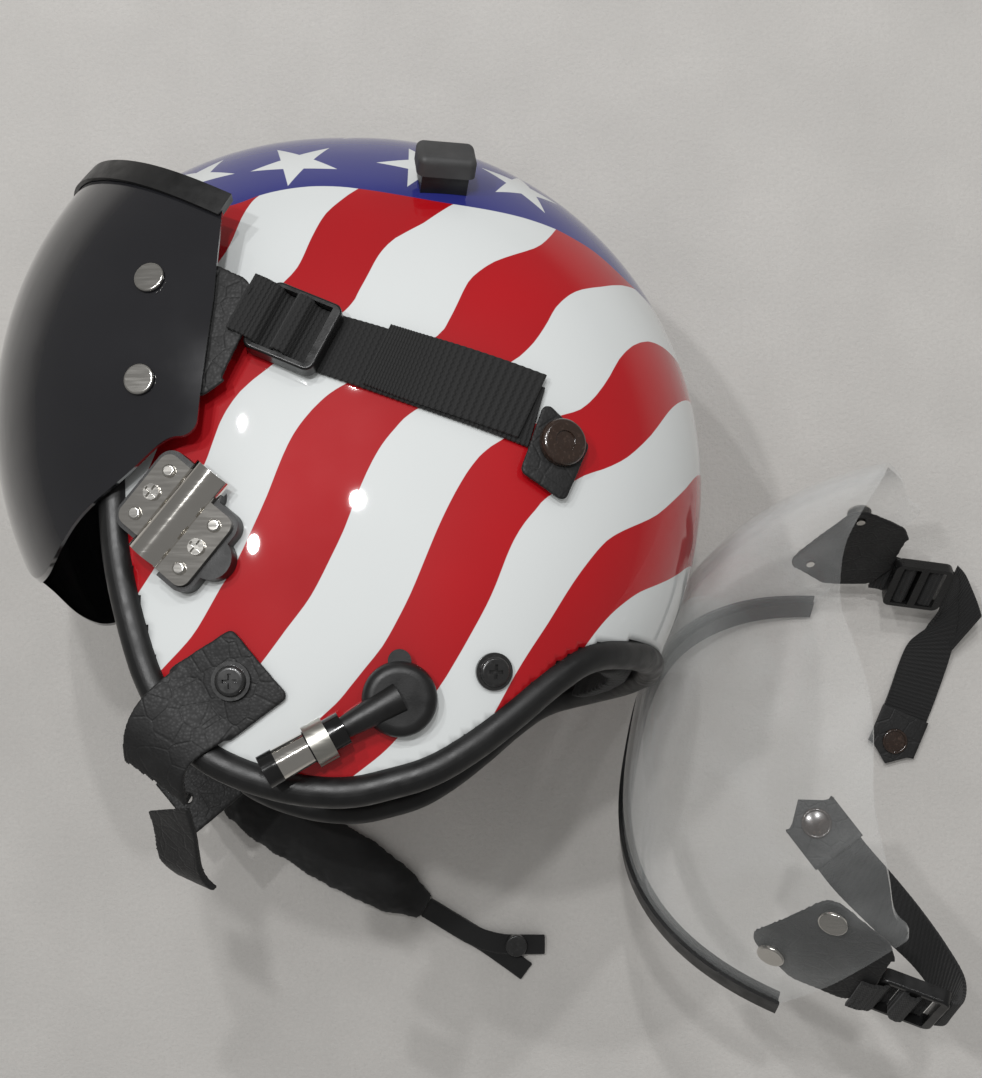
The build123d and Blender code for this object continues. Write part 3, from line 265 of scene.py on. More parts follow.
def weld(piece, reach=0.00002, outward=True):
    """Merges what meets, and turns every face outwards."""
    pick(piece)
    bpy.ops.object.mode_set(mode="EDIT")
    bpy.ops.mesh.select_all(action="SELECT")
    bpy.ops.mesh.remove_doubles(threshold=reach)
    if outward:
        bpy.ops.mesh.normals_make_consistent(inside=False)
    bpy.ops.object.mode_set(mode="OBJECT")


def smooth_shade(piece):
    pick(piece)
    bpy.ops.object.shade_smooth()


def grid(name, across, along):
    """A flat sheet of faces from the origin, one unit wide and long, with its own UV map."""
    deselect()
    bpy.ops.mesh.primitive_grid_add(x_subdivisions=across, y_subdivisions=along, size=1, calc_uvs=True)
    piece = bpy.context.object
    piece.name = name
    piece.data.name = name
    return piece


def settle(piece, material, body, slot, *stands_for):
    """Gives a finished piece its material, its body and the nodes it stands for."""
    piece.data.materials.clear()
    piece.data.materials.append(material)
    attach(piece, body)
    if stands_for:
        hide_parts(*stands_for)
    return piece


def dress(material, *names):
    """Puts a material on nodes whose shape stays."""
    for name in names:
        node = NODES[name]
        if not node.material_slots:
            raise RuntimeError(f"{name} has no material slot")
        for slot in node.material_slots:
            slot.material = material


# Shader helpers
class Shader:
    """A material's nodes, linked from plain calls."""

    def __init__(self, name):
        self.material = bpy.data.materials.new(name)
        self.material.use_nodes = True
        self.tree = self.material.node_tree
        self.face = self.tree.nodes["Principled BSDF"]
        self.place = self.add("ShaderNodeTexCoord").outputs["Object"]

    def add(self, kind, inputs=None, **settings):
        node = self.tree.nodes.new(kind)
        for name, value in settings.items():
            setattr(node, name, value)
        for name, value in (inputs or {}).items():
            if isinstance(value, bpy.types.NodeSocket):
                self.tree.links.new(value, node.inputs[name])
            else:
                node.inputs[name].default_value = value
        return node

    def math(self, operation, *values, clamp=False):
        inputs = {index: value for index, value in enumerate(values)}
        return self.add("ShaderNodeMath", inputs, operation=operation, use_clamp=clamp).outputs[0]

    def noise(self, size, detail=4.0, vector=None, roughness=0.5):
        inputs = {"Vector": vector or self.place, "Scale": 1 / size, "Detail": detail, "Roughness": roughness}
        return self.add("ShaderNodeTexNoise", inputs).outputs["Fac"]

    def cells(self, size, feature="F1", vector=None):
        inputs = {"Vector": vector or self.place, "Scale": 1 / size}
        return self.add("ShaderNodeTexVoronoi", inputs, feature=feature).outputs["Distance"]

    def spread(self, value, low, high, start=0.0, end=1.0, smooth=False):
        inputs = {"Value": value, "From Min": start, "From Max": end, "To Min": low, "To Max": high}
        kind = "SMOOTHSTEP" if smooth else "LINEAR"
        return self.add("ShaderNodeMapRange", inputs, interpolation_type=kind).outputs["Result"]

    def mix(self, share, first, second):
        node = self.add("ShaderNodeMix", data_type="RGBA")
        for index, value in ((0, share), (6, first), (7, second)):
            if isinstance(value, bpy.types.NodeSocket):
                self.tree.links.new(value, node.inputs[index])
            else:
                node.inputs[index].default_value = value
        return node.outputs[2]

    def bump(self, height, depth, strength=1.0, under=None):
        inputs = {"Height": height, "Distance": depth, "Strength": strength}
        if under is not None:
            inputs["Normal"] = under
        return self.add("ShaderNodeBump", inputs).outputs["Normal"]

    def set(self, **values):
        for name, value in values.items():
            socket = self.face.inputs[name.replace("_", " ")]
            if isinstance(value, bpy.types.NodeSocket):
                self.tree.links.new(value, socket)
            else:
                socket.default_value = value
        return self.material


def shade(value, alpha=1.0):
    return (value[0], value[1], value[2], alpha)


def grey(value):
    return (value, value, value * 1.02, 1.0)


def moulded(name, tone, rough, grain=0.0006, depth=0.00004):
    """Moulded rubber or plastic: a fine grain with slightly worn, lighter places."""
    s = Shader(name)
    wear = s.spread(s.noise(0.018, 5.0), 0.0, 1.0, 0.42, 0.72)
    s.set(
        Base_Color=s.mix(wear, grey(tone), grey(tone * 1.5 + 0.001)),
        Roughness=s.spread(s.noise(0.006, 3.0), rough - 0.08, rough + 0.1, 0.3, 0.7),
        Normal=s.bump(s.noise(grain, 3.0), depth),
    )
    return s.material


def metal(name, tone, rough, scratch=0.0):
    """Polished or brushed metal with fine scratches and dull spots."""
    s = Shader(name)
    stretched = s.add("ShaderNodeMapping", {"Vector": s.place, "Rotation": (0.4, 0.2, 0.7), "Scale": (60, 900, 300)})
    marks = s.noise(1.0, 4.0, stretched.outputs[0])
    s.set(
        Base_Color=s.mix(s.noise(0.01, 3.0), shade(tone), shade([value * 0.86 for value in tone])),
        Metallic=1.0,
        Roughness=s.spread(marks, rough, rough * 1.5, 0.35, 0.75),
    )
    if scratch:
        s.set(Normal=s.bump(marks, scratch))
    return s.material


def leather(name, tone, grain):
    """Pebbled leather: rounded cells, creases and rubbed high places."""
    s = Shader(name)
    pebbles = s.cells(grain)
    creases = s.cells(grain * 7, "DISTANCE_TO_EDGE")
    crease = s.spread(creases, 0.0, 1.0, 0.0, 0.08, smooth=True)
    first = s.bump(crease, 0.00025, 0.5)
    rub = s.spread(s.noise(0.012, 4.0), 0.0, 1.0, 0.45, 0.75)
    s.set(
        Base_Color=s.mix(rub, grey(tone), grey(tone * 1.7 + 0.001)),
        Roughness=s.spread(pebbles, 0.5, 0.68, 0.0, 0.7),
        Normal=s.bump(pebbles, 0.00012, 0.8, first),
        Sheen_Weight=0.04,
        Sheen_Roughness=0.4,
    )
    return s.material


def woven(name, tone, ribs):
    """Webbing on its own UV map in millimetres: cross ribs over paired lengthwise yarns, with painted shade in their
    low places and painted highlight on their tops.
    """
    s = Shader(name)
    where = s.add("ShaderNodeUVMap", uv_map="UVMap").outputs["UV"]
    parts = s.add("ShaderNodeSeparateXYZ", {"Vector": where})
    across, along = parts.outputs["X"], parts.outputs["Y"]
    rib = s.math("SINE", s.math("MULTIPLY", along, 2 * pi / ribs))
    offset = s.math("MULTIPLY", s.math("SIGN", s.math("SINE", s.math("MULTIPLY", across, pi / 1.1))), pi / 2)
    yarn = s.math("SINE", s.math("ADD", s.math("MULTIPLY", along, 2 * pi / (ribs / 2)), offset))
    thread = s.math("ABSOLUTE", s.math("SINE", s.math("MULTIPLY", across, pi / 1.1)))
    height = s.math("ADD", s.math("MULTIPLY", rib, 0.6), s.math("MULTIPLY", s.math("MULTIPLY", yarn, thread), 0.4))
    fuzz = s.noise(0.0004, 3.0)
    # Colour follows the weave's height: painted shade in the low places between ribs and yarns, painted highlight on
    # their raised tops.
    s.set(
        Base_Color=s.mix(s.spread(height, 0.0, 1.0, -1.0, 1.0), grey(tone * 0.5), grey(tone * 1.5)),
        Roughness=0.82,
        Normal=s.bump(fuzz, 0.00008, 0.6, s.bump(height, 0.00022, 0.9)),
        Sheen_Weight=0.08,
        Sheen_Roughness=0.5,
    )
    return s.material


def cloth(name, tone):
    """Padded cloth: a fine square weave over soft creases."""
    s = Shader(name)
    pitch = 2 * pi / 0.0009
    parts = s.add("ShaderNodeSeparateXYZ", {"Vector": s.place})
    warp = s.math("SINE", s.math("MULTIPLY", parts.outputs["X"], pitch))
    weft = s.math("SINE", s.math("MULTIPLY", s.math("ADD", parts.outputs["Y"], parts.outputs["Z"]), pitch))
    weave = s.math("MULTIPLY", warp, weft)
    s.set(
        Base_Color=s.mix(s.noise(0.02, 4.0), grey(tone * 0.7), grey(tone * 1.5)),
        Roughness=0.9,
        Normal=s.bump(weave, 0.00008, 0.7, s.bump(s.noise(0.01, 3.0), 0.0008, 0.6)),
        Sheen_Weight=0.1,
        Sheen_Roughness=0.5,
    )
    return s.material


def foam(name, tone):
    """Expanded foam: packed beads."""
    s = Shader(name)
    beads = s.cells(0.0035)
    s.set(
        Base_Color=s.mix(beads, grey(tone * 1.4), grey(tone * 0.7)),
        Roughness=0.85,
        Normal=s.bump(beads, 0.0004, 0.7),
    )
    return s.material


def enamel(name, tone, rough):
    """Black enamel on a fastener, with rubbed edges and fine scratches."""
    s = Shader(name)
    scratches = s.spread(s.noise(0.0016, 5.0), 0.0, 1.0, 0.55, 0.8)
    s.set(
        Base_Color=s.mix(scratches, shade(tone), shade([value * 2.2 + 0.01 for value in tone])),
        Roughness=s.spread(s.noise(0.003, 3.0), rough, rough + 0.14, 0.3, 0.7),
        Specular_IOR_Level=0.6,
        Coat_Weight=0.5,
        Coat_Roughness=0.12,
    )
    return s.material


def tinted_lens(name):
    """Dark smoke visor: near opaque, hard gloss, a little dust and wiping haze."""
    s = Shader(name)
    haze = s.noise(0.05, 4.0)
    s.set(
        Base_Color=s.mix(haze, (0.011, 0.011, 0.013, 1), (0.017, 0.017, 0.02, 1)),
        Roughness=s.spread(haze, 0.09, 0.17, 0.3, 0.7),
        Transmission_Weight=0.25,
        IOR=1.5,
        Coat_Weight=0.6,
        Coat_Roughness=0.05,
    )
    return s.material


def clear_lens(name):
    """Clear visor: see-through face on, brighter at a slant and along its cut edges."""
    s = Shader(name)
    slant = s.add("ShaderNodeLayerWeight", {"Blend": 0.35}).outputs["Facing"]
    wiping = s.spread(s.noise(0.03, 5.0), 0.0, 0.05, 0.45, 0.75)
    seen = s.math("ADD", s.spread(slant, 0.05, 0.78, 0.3, 0.98, smooth=True), wiping, clamp=True)
    s.set(
        Base_Color=(0.74, 0.76, 0.76, 1),
        Roughness=s.spread(s.noise(0.01, 3.0), 0.03, 0.09, 0.3, 0.7),
        Alpha=seen,
        IOR=1.5,
        Coat_Weight=1.0,
        Coat_Roughness=0.03,
    )
    return s.material


MATERIALS = {}


def made(name, maker, *settings):
    """A material by name, made the first time it is asked for."""
    if name not in MATERIALS:
        MATERIALS[name] = maker(name, *settings)
    return MATERIALS[name]


def black_leather():
    return made("black_leather", leather, 0.0055, bpy.context.scene.helmet_soft.grain)


def black_webbing():
    return made("black_webbing", woven, 0.0065, bpy.context.scene.helmet_soft.rib)


def pad_cloth():
    return made("pad_cloth", cloth, 0.008)


def black_rubber():
    return made("black_rubber", moulded, 0.006, 0.42)


def black_plastic():
    return made("black_plastic", moulded, 0.005, 0.3, 0.0009, 0.00003)


def bright_nickel():
    return made("bright_nickel", metal, (0.72, 0.7, 0.66), 0.16)


# Painted shell
def star_group():
    """Shader group: how far a place is inside one five-pointed star, in star radii."""
    tree = bpy.data.node_groups.new("painted_star", "ShaderNodeTree")
    for name in ("Place", "Centre", "Across", "Up", "Out"):
        tree.interface.new_socket(name=name, in_out="INPUT", socket_type="NodeSocketVector")
    tree.interface.new_socket(name="Inside", in_out="OUTPUT", socket_type="NodeSocketFloat")
    given = tree.nodes.new("NodeGroupInput").outputs
    result = tree.nodes.new("NodeGroupOutput").inputs

    def vector(operation, first, second):
        node = tree.nodes.new("ShaderNodeVectorMath")
        node.operation = operation
        tree.links.new(first, node.inputs[0])
        tree.links.new(second, node.inputs[1])
        return node.outputs["Value"] if operation == "DOT_PRODUCT" else node.outputs[0]

    def number(operation, *values):
        node = tree.nodes.new("ShaderNodeMath")
        node.operation = operation
        for index, value in enumerate(values):
            if isinstance(value, bpy.types.NodeSocket):
                tree.links.new(value, node.inputs[index])
            else:
                node.inputs[index].default_value = value
        return node.outputs[0]

    away = vector("SUBTRACT", given["Place"], given["Centre"])
    across = vector("DOT_PRODUCT", away, given["Across"])
    up = vector("DOT_PRODUCT", away, given["Up"])
    depth = number("ABSOLUTE", vector("DOT_PRODUCT", away, given["Out"]))
    reach = number("SQRT", number("ADD", number("MULTIPLY", across, across), number("MULTIPLY", up, up)))
    turn = number("PINGPONG", number("ARCTAN2", across, up), pi / 5)
    slant = number("MULTIPLY", reach, number("COSINE", number("SUBTRACT", turn, STAR_POINT)))
    inside = number("SUBTRACT", cos(STAR_POINT), slant)
    near = number("LESS_THAN", depth, STAR_DEPTH)
    tree.links.new(number("MULTIPLY", near, number("MAXIMUM", inside, 0.0)), result["Inside"])
    return tree


def crown_spot(x, z):
    """The place on the crown above a point of the head seen from the crown."""
    low, high = 0.0, CROWN
    for _ in range(40):
        middle = (low + high) / 2
        if half_width(x, middle) > abs(z):
            low = middle
        else:
            high = middle
    return Vector((x, low, z))


def shell_out(spot):
    """The way out of the shell at a place on it, in the helmet's axes."""
    slopes = []
    for step in (Vector((1, 0, 0)), Vector((0, 1, 0)), Vector((0, 0, 1))):
        sides = []
        for way in (-1, 1):
            place = spot + step * way * 0.5
            front, back, centre, half = ring_sizes(min(place.y, CROWN - 0.2))
            along = place.x - centre
            reach = back - centre if along > 0 else centre - front
            sides.append((abs(along) / reach) ** RING_POWER + (abs(place.z) / half) ** RING_POWER)
        slopes.append(sides[1] - sides[0])
    return Vector(slopes).normalized()


def stars():
    """Centre and axes of every star in the row frame, axes shortened to star radii."""
    radius = bpy.context.scene.helmet_paint.star_radius
    found = []
    for x, z in STAR_SPOTS:
        for side in (1, -1):
            spot = crown_spot(x, z * side)
            out = shell_out(spot)
            tilt = radians(STAR_TILT)
            to_middle = Vector((-sin(tilt), 0, -side * cos(tilt)))
            up = (to_middle - out * to_middle.dot(out)).normalized()
            across = up.cross(out)
            place = HELMET_ORIGIN + TURN @ spot * MM
            found.append((place, TURN @ across / radius, TURN @ up / radius, TURN @ out / radius))
    return found


def distance_to_line(x, y, line):
    """Distance from a point to a line in the side view, positive on its right-hand side."""
    best, sign = 1e9, 1.0
    for first, last in zip(line, line[1:]):
        run_x, run_y = last.x - first.x, last.y - first.y
        to_x, to_y = x - first.x, y - first.y
        share = min(max((to_x * run_x + to_y * run_y) / (run_x**2 + run_y**2), 0.0), 1.0)
        gap = (to_x - run_x * share) ** 2 + (to_y - run_y * share) ** 2
        if gap < best:
            best = gap
            sign = -1.0 if to_x * run_y - to_y * run_x > 0 else 1.0
    return sqrt(best) * sign


def paint_values(x, y, edges, field_edge):
    """Distances of a place from the nearest stripe edge and from the blue field's edge."""
    nearest, passed = 1e9, 0
    for line in edges:
        gap = distance_to_line(x, y, line)
        nearest = min(nearest, abs(gap))
        passed += gap > 0
    return nearest * (1 if passed % 2 == 0 else -1), distance_to_line(x, y, field_edge)


class HELMET_OT_shell(bpy.types.Operator):
    """Models the outer shell and paints its stripes, field and stars"""

    bl_idname = "helmet.shell"
    bl_label = "Painted shell"

    def execute(self, context):
        look = context.scene.helmet_paint
        rows = SKIRT_ROWS + CROWN_ROWS
        shell = grid("painted_shell", AROUND, rows)
        for vertex in shell.data.vertices:
            turn = (vertex.co.x + 0.5) * 2 * pi
            row = round((vertex.co.y + 0.5) * rows)
            if row < SKIRT_ROWS:
                level = -SKIRT * (1 - row / SKIRT_ROWS)
            else:
                level = CROWN * sin(pi / 2 * (row - SKIRT_ROWS) / CROWN_ROWS)
            front, back, centre, half = ring_sizes(level)
            reach = back - centre if cos(turn) > 0 else centre - front
            x = centre + reach * copysign(abs(cos(turn)) ** (2 / RING_POWER), cos(turn))
            z = half * copysign(abs(sin(turn)) ** (2 / RING_POWER), sin(turn))
            vertex.co = from_helmet(x, level, z)
        trim_to_wall(shell)
        weld(shell)
        back_to_helmet = TURN.transposed()
        edges = [smooth_line(points, 2) for points in STRIPE_EDGES]
        field_edge = smooth_line(FIELD_EDGE, 2)
        stripe = shell.data.attributes.new("stripe", "FLOAT", "POINT")
        field = shell.data.attributes.new("field", "FLOAT", "POINT")
        for index, vertex in enumerate(shell.data.vertices):
            spot = back_to_helmet @ (vertex.co - HELMET_ORIGIN) / MM
            stripe.data[index].value, field.data[index].value = paint_values(spot.x, spot.y, edges, field_edge)
        finish_mesh(shell, "SOLIDIFY", thickness=WALL * MM, offset=-1.0)
        smooth_shade(shell)
        settle(shell, self.paint(look), "helmet", "gloss_paint", "outer_shell")
        return {"FINISHED"}

    def paint(self, look):
        s = Shader("shell_paint")
        edge = 0.12
        stripe = s.add("ShaderNodeAttribute", attribute_name="stripe").outputs["Fac"]
        field = s.add("ShaderNodeAttribute", attribute_name="field").outputs["Fac"]
        fade = s.noise(0.12, 3.0)
        red = s.mix(s.spread(fade, 0.0, 1.0, 0.35, 0.7), shade(look.red), shade([value * 0.82 for value in look.red]))
        white = s.mix(fade, shade(look.white), shade([value * 0.95 for value in look.white]))
        navy = s.mix(fade, shade(look.navy), shade([value * 0.8 for value in look.navy]))
        colour = s.mix(s.spread(stripe, 0.0, 1.0, -edge, edge, smooth=True), red, white)
        colour = s.mix(s.spread(field, 0.0, 1.0, -edge, edge, smooth=True), colour, navy)
        group = star_group()
        inside = None
        for centre, across, up, out in stars():
            node = s.add("ShaderNodeGroup", node_tree=group)
            for name, value in (("Centre", centre), ("Across", across), ("Up", up), ("Out", out)):
                node.inputs[name].default_value = value
            s.tree.links.new(s.place, node.inputs["Place"])
            inside = node.outputs[0] if inside is None else s.math("MAXIMUM", inside, node.outputs[0])
        on_field = s.math("GREATER_THAN", field, 0.0)
        star = s.math("MULTIPLY", s.spread(inside, 0.0, 1.0, 0.0, 0.012, smooth=True), on_field)
        colour = s.mix(star, colour, white)
        ripple = s.noise(0.004, 2.0)
        return s.set(
            Base_Color=colour,
            Roughness=s.spread(s.noise(0.03, 4.0), 0.45, 0.55, 0.3, 0.7),
            Specular_IOR_Level=0.12,
            Normal=s.bump(ripple, 0.000012, 0.5),
            Coat_Weight=1.0,
            Coat_Roughness=0.025,
            Coat_IOR=1.55,
        )


def trim_to_wall(shell):
    """Takes away what lies past the wall's edge, leaving a strip that hides in the roll."""
    wall = NODES["outer_shell"].data
    tree = BVHTree.FromPolygons([v.co for v in wall.vertices], [tuple(p.vertices) for p in wall.polygons])
    pick(shell)
    bpy.ops.object.mode_set(mode="EDIT")
    bpy.ops.mesh.select_mode(type="FACE")
    bpy.ops.mesh.select_all(action="DESELECT")
    bpy.ops.object.mode_set(mode="OBJECT")
    for polygon in shell.data.polygons:
        polygon.select = tree.find_nearest(polygon.center, WALL * MM)[0] is None
    bpy.ops.object.mode_set(mode="EDIT")
    bpy.ops.mesh.delete(type="FACE")
    bpy.ops.object.mode_set(mode="OBJECT")


# Soft pieces
def soft_copy(name, node, cell, rounds=2, swell=0.0, wrinkle=0.0, wave=0.02):
    """A soft piece in the space of its plain solid: edges rounded, faces swollen and creased."""
    piece = bpy.data.objects.new(name, NODES[node].data.copy())
    bpy.context.scene.collection.objects.link(piece)
    weld(piece, 0.00001, outward=False)
    finish_mesh(piece, "REMESH", mode="VOXEL", voxel_size=cell * MM)
    finish_mesh(piece, "SMOOTH", factor=0.6, iterations=rounds)
    outs = [vertex.normal.copy() for vertex in piece.data.vertices]
    for vertex, out in zip(piece.data.vertices, outs):
        rise = swell
        if wrinkle:
            fold = noise.fractal(vertex.co / wave, 0.7, 2.1, 4)
            rise += wrinkle * fold
        vertex.co += out * rise * MM
    smooth_shade(piece)
    return piece


def band(name, place, across, along, thickness, width_mm, length_mm):
    """A flat band: place(u, v) gives its underside's spots, with its UV map in millimetres."""
    piece = grid(name, across, along)
    uv = piece.data.uv_layers[0]
    uv.name = "UVMap"
    for loop in piece.data.loops:
        spot = piece.data.vertices[loop.vertex_index].co
        uv.data[loop.index].uv = ((spot.x + 0.5) * width_mm, (spot.y + 0.5) * length_mm)
    for vertex in piece.data.vertices:
        vertex.co = place(vertex.co.x + 0.5, vertex.co.y + 0.5)
    pick(piece)
    finish_mesh(piece, "SOLIDIFY", thickness=thickness * MM, offset=0.0)
    finish_mesh(piece, "BEVEL", width=thickness * 0.3 * MM, segments=2, limit_method="ANGLE", angle_limit=radians(50))
    smooth_shade(piece)
    return piece


def ribbed(piece, pitch_mm, depth_mm):
    """Raises cross ribs on a band, from its UV map, so that they show in the mesh."""
    uv = piece.data.uv_layers[0].data
    along = {}
    for loop in piece.data.loops:
        along[loop.vertex_index] = uv[loop.index].uv[1]
    for vertex in piece.data.vertices:
        vertex.co += vertex.normal * depth_mm * MM * sin(2 * pi * along[vertex.index] / pitch_mm)


def join(name, pieces):
    """One piece out of several."""
    deselect()
    for piece in pieces:
        piece.select_set(True)
    bpy.context.view_layer.objects.active = pieces[0]
    if len(pieces) > 1:
        bpy.ops.object.join()
    pieces[0].name = name
    pieces[0].data.name = name
    return pieces[0]


def ribbon(name, stations, width, thickness, steps=60, lanes=8, ribs=1.6):
    """Webbing along listed stations: a place, the way across, in metres."""
    line = smooth_line([place for place, _ in stations], 10)
    ways = smooth_line([way for _, way in stations], 10)
    length = sum((b - a).length for a, b in zip(line, line[1:])) / MM

    def place(u, v):
        return place_on(line, v) + place_on(ways, v).normalized() * (u - 0.5) * width * MM

    piece = band(name, place, lanes, steps, thickness, width, length)
    ribbed(piece, ribs, 0.05)
    return piece


class HELMET_OT_side_straps(bpy.types.Operator):
    """Models the visor webbing on both sides of the shell, with its folded end"""

    bl_idname = "helmet.side_straps"
    bl_label = "Visor webbing"

    def execute(self, context):
        for side, name in ((1, "left"), (-1, "right")):
            layers = []
            for part, (top, foot, low) in enumerate(
                ((STRAP_TOP, STRAP_FOOT, 0.6), (FOLD_TOP, FOLD_FOOT, 2.45))
            ):
                upper = smooth_line([(x, y, 0) for x, y in top], 10)
                lower = smooth_line([(x, y, 0) for x, y in foot], 10)

                def place(u, v):
                    spot = place_on(lower, v).lerp(place_on(upper, v), u)
                    sag = 0.25 * sin(9 * v + 2 * part) * sin(pi * v)
                    helmet_spot, _ = shell_spot(spot.x, spot.y, side, low + 0.8 + sag * 0.4)
                    return HELMET_ORIGIN + TURN @ helmet_spot * MM

                length = (upper[-1] - upper[0]).length
                layers.append(band(f"layer_{part}", place, 14, 260, 1.6, 25.4, length))
                ribbed(layers[-1], context.scene.helmet_soft.rib, 0.09)
            strap = join(f"webbing_{name}", layers)
            if side < 0:
                weld(strap, 0.000001)
            strap.data.materials.clear()
            strap.data.materials.append(black_webbing())
            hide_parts(f"visor_strap_{name}")
            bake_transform(strap)
        return {"FINISHED"}


def buckle_frame(side, spare):
    """A buckle's base: its middle and its ways along, across and out, in the row frame."""
    spot, out = shell_spot(*BUCKLE_SPOT, side, BUCKLE_SEAT)
    ahead, _ = shell_spot(BUCKLE_SPOT[0] + STRAP_WAY[0], BUCKLE_SPOT[1] + STRAP_WAY[1], side, BUCKLE_SEAT)
    along = ahead - spot
    along = (along - out * along.dot(out)).normalized()
    across = out.cross(along).normalized()
    turn, origin = (SPARE_TURN, SPARE_ORIGIN) if spare else (TURN, HELMET_ORIGIN)
    return origin + turn @ spot * MM, turn @ along, turn @ across, turn @ out


def webbing_run(name, side, spare, run, yoke=None):
    """Webbing through a buckle, resting on the leather where that lies under it."""
    middle, along, across, out = buckle_frame(side, spare)
    line = smooth_line([(place, height, 0) for place, height in run], 8)
    length = sum((b - a).length for a, b in zip(line, line[1:]))
    below = None
    if yoke:
        mesh = NODES[yoke].data
        below = BVHTree.FromPolygons([v.co for v in mesh.vertices], [tuple(p.vertices) for p in mesh.polygons])

    def place(u, v):
        spot = place_on(line, v)
        height = spot.y
        foot = middle + (along * spot.x + across * (u - 0.5) * WEB_WIDTH) * MM
        if below and spot.x < -15.3:
            hit = below.ray_cast(foot + out * 0.03, -out, 0.04)[0]
            if hit:
                height = max(height, (hit - foot).dot(out) / MM + 1.05)
        return foot + out * height * MM

    piece = band(name, place, 10, 90, 1.5, WEB_WIDTH, length)
    ribbed(piece, bpy.context.scene.helmet_soft.rib, 0.08)
    return piece


def tab_end(name, last, before, size):
    """A leather tab sewn to a strap's end, with a snap in it: the tab and the snap."""
    spot = Vector(last[0]) * MM
    way = (Vector(last[0]) - Vector(before[0])).normalized()
    across = (Vector(last[1]) - way * way.dot(Vector(last[1]))).normalized()
    up = across.cross(way).normalized()
    if up.z < 0:
        up = -up

    def place(u, v):
        narrow = 1 - 0.35 * max(v - 0.72, 0) / 0.28 * abs(2 * u - 1)
        return spot + (way * (v * size * narrow - 7) + across * (u - 0.5) * (WEB_WIDTH + 1.5) + up * 1.9) * MM

    tab = band(name, place, 14, 18, 1.9, WEB_WIDTH, size)
    deselect()
    centre = spot + (way * (size * 0.55 - 7) + up * 3.1) * MM
    turn = up.to_track_quat("Z", "Y").to_euler()
    bpy.ops.mesh.primitive_cylinder_add(vertices=64, radius=6.4 * MM, depth=1.2 * MM, location=centre, rotation=turn)
    cap = bpy.context.object
    bpy.ops.mesh.primitive_torus_add(
        major_segments=64, minor_segments=16, major_radius=6.2 * MM, minor_radius=0.75 * MM,
        location=centre + up * 0.5 * MM, rotation=turn,
    )
    rim = bpy.context.object
    snap = join("snap_" + name, [cap, rim])
    pick(snap)
    bpy.ops.object.transform_apply(location=True, rotation=True, scale=True)
    finish_mesh(snap, "BEVEL", width=0.2 * MM, segments=2, limit_method="ANGLE", angle_limit=radians(60))
    smooth_shade(snap)
    return tab, snap


class HELMET_OT_buckle_webbing(bpy.types.Operator):
    """Threads the webbing through all four buckles and lays the spare visor's loose straps"""

    bl_idname = "helmet.buckle_webbing"
    bl_label = "Webbing in the buckles"

    def execute(self, context):
        for set_name, body, spare in (("visor", "visor", False), ("spare", "spare_visor", True)):
            for side, hand in ((1, "left"), (-1, "right")):
                front = webbing_run("front_run", side, spare, FRONT_RUN, f"{set_name}_yoke_{hand}")
                rear = webbing_run("rear_run", side, spare, REAR_RUN)
                settle(join(f"{set_name}_webbing_{hand}", [front, rear]), black_webbing(), body, "webbing")
        enamelled = made("brown_enamel", enamel, (0.022, 0.012, 0.008), 0.12)
        for name, run, tabbed in (
            ("spare_loose_left", LOOSE_NEAR, True),
            ("spare_loose_tail", LOOSE_NEAR_TAIL, False),
            ("spare_loose_right", LOOSE_FAR, True),
        ):
            stations = [(Vector(spot) * MM, Vector(way).normalized()) for spot, way in run]
            strap = ribbon(name, stations, WEB_WIDTH, 1.6, 130, 10, context.scene.helmet_soft.rib)
            settle(strap, black_webbing(), "spare_visor", "webbing")
            if tabbed:
                tab, snap = tab_end("tab_" + name, run[-1], run[-2], 30.0)
                settle(tab, black_leather(), "spare_visor", "leather")
                settle(snap, enamelled, "spare_visor", "black_steel")
        return {"FINISHED"}


class HELMET_OT_tabs(bpy.types.Operator):
    """Models the leather tabs under the snaps and the chin leathers"""

    bl_idname = "helmet.tabs"
    bl_label = "Leather tabs"

    def execute(self, context):
        for name in ("strap_tab_left", "strap_tab_right", "chin_tab_left", "chin_tab_right"):
            tab = soft_copy("leather_" + name, name, 0.75, 3, 0.06, 0.25, 0.03)
            settle(tab, black_leather(), "helmet", "leather", name)
        return {"FINISHED"}


class HELMET_OT_pads(bpy.types.Operator):
    """Models the cloth pads, the ear seals and the padded chin sleeve"""

    bl_idname = "helmet.pads"
    bl_label = "Pads and seals"

    def execute(self, context):
        for name in ("crown_pad", "brow_pad", "back_pad", "nape_pad"):
            pad = soft_copy("cushion_" + name, name, 1.6, 6, 0.1, 0.5, 0.018)
            settle(pad, pad_cloth(), "helmet", "pad_cloth", name)
        for name in ("ear_seal_left", "ear_seal_right"):
            seal = soft_copy("cushion_" + name, name, 1.2, 4, 0.05, 0.3, 0.01)
            settle(seal, made("seal_leather", leather, 0.013, 0.0009), "helmet", "seal_leather", name)
        sleeve = soft_copy("cushion_chin_sleeve", "chin_sleeve", 1.2, 5, 0.3, 1.1, 0.016)
        settle(sleeve, pad_cloth(), "chin_strap", "pad_cloth", "chin_sleeve")
        return {"FINISHED"}


class HELMET_OT_chin_strap(bpy.types.Operator):
    """Models the chin webbing and its forked ends"""

    bl_idname = "helmet.chin_strap"
    bl_label = "Chin webbing"

    def execute(self, context):
        strap = soft_copy("webbing_chin", "chin_strap", 0.6, 2, 0.02, 0.12, 0.012)
        settle(strap, made("tape_cloth", cloth, 0.007), "chin_strap", "webbing", "chin_strap")
        return {"FINISHED"}


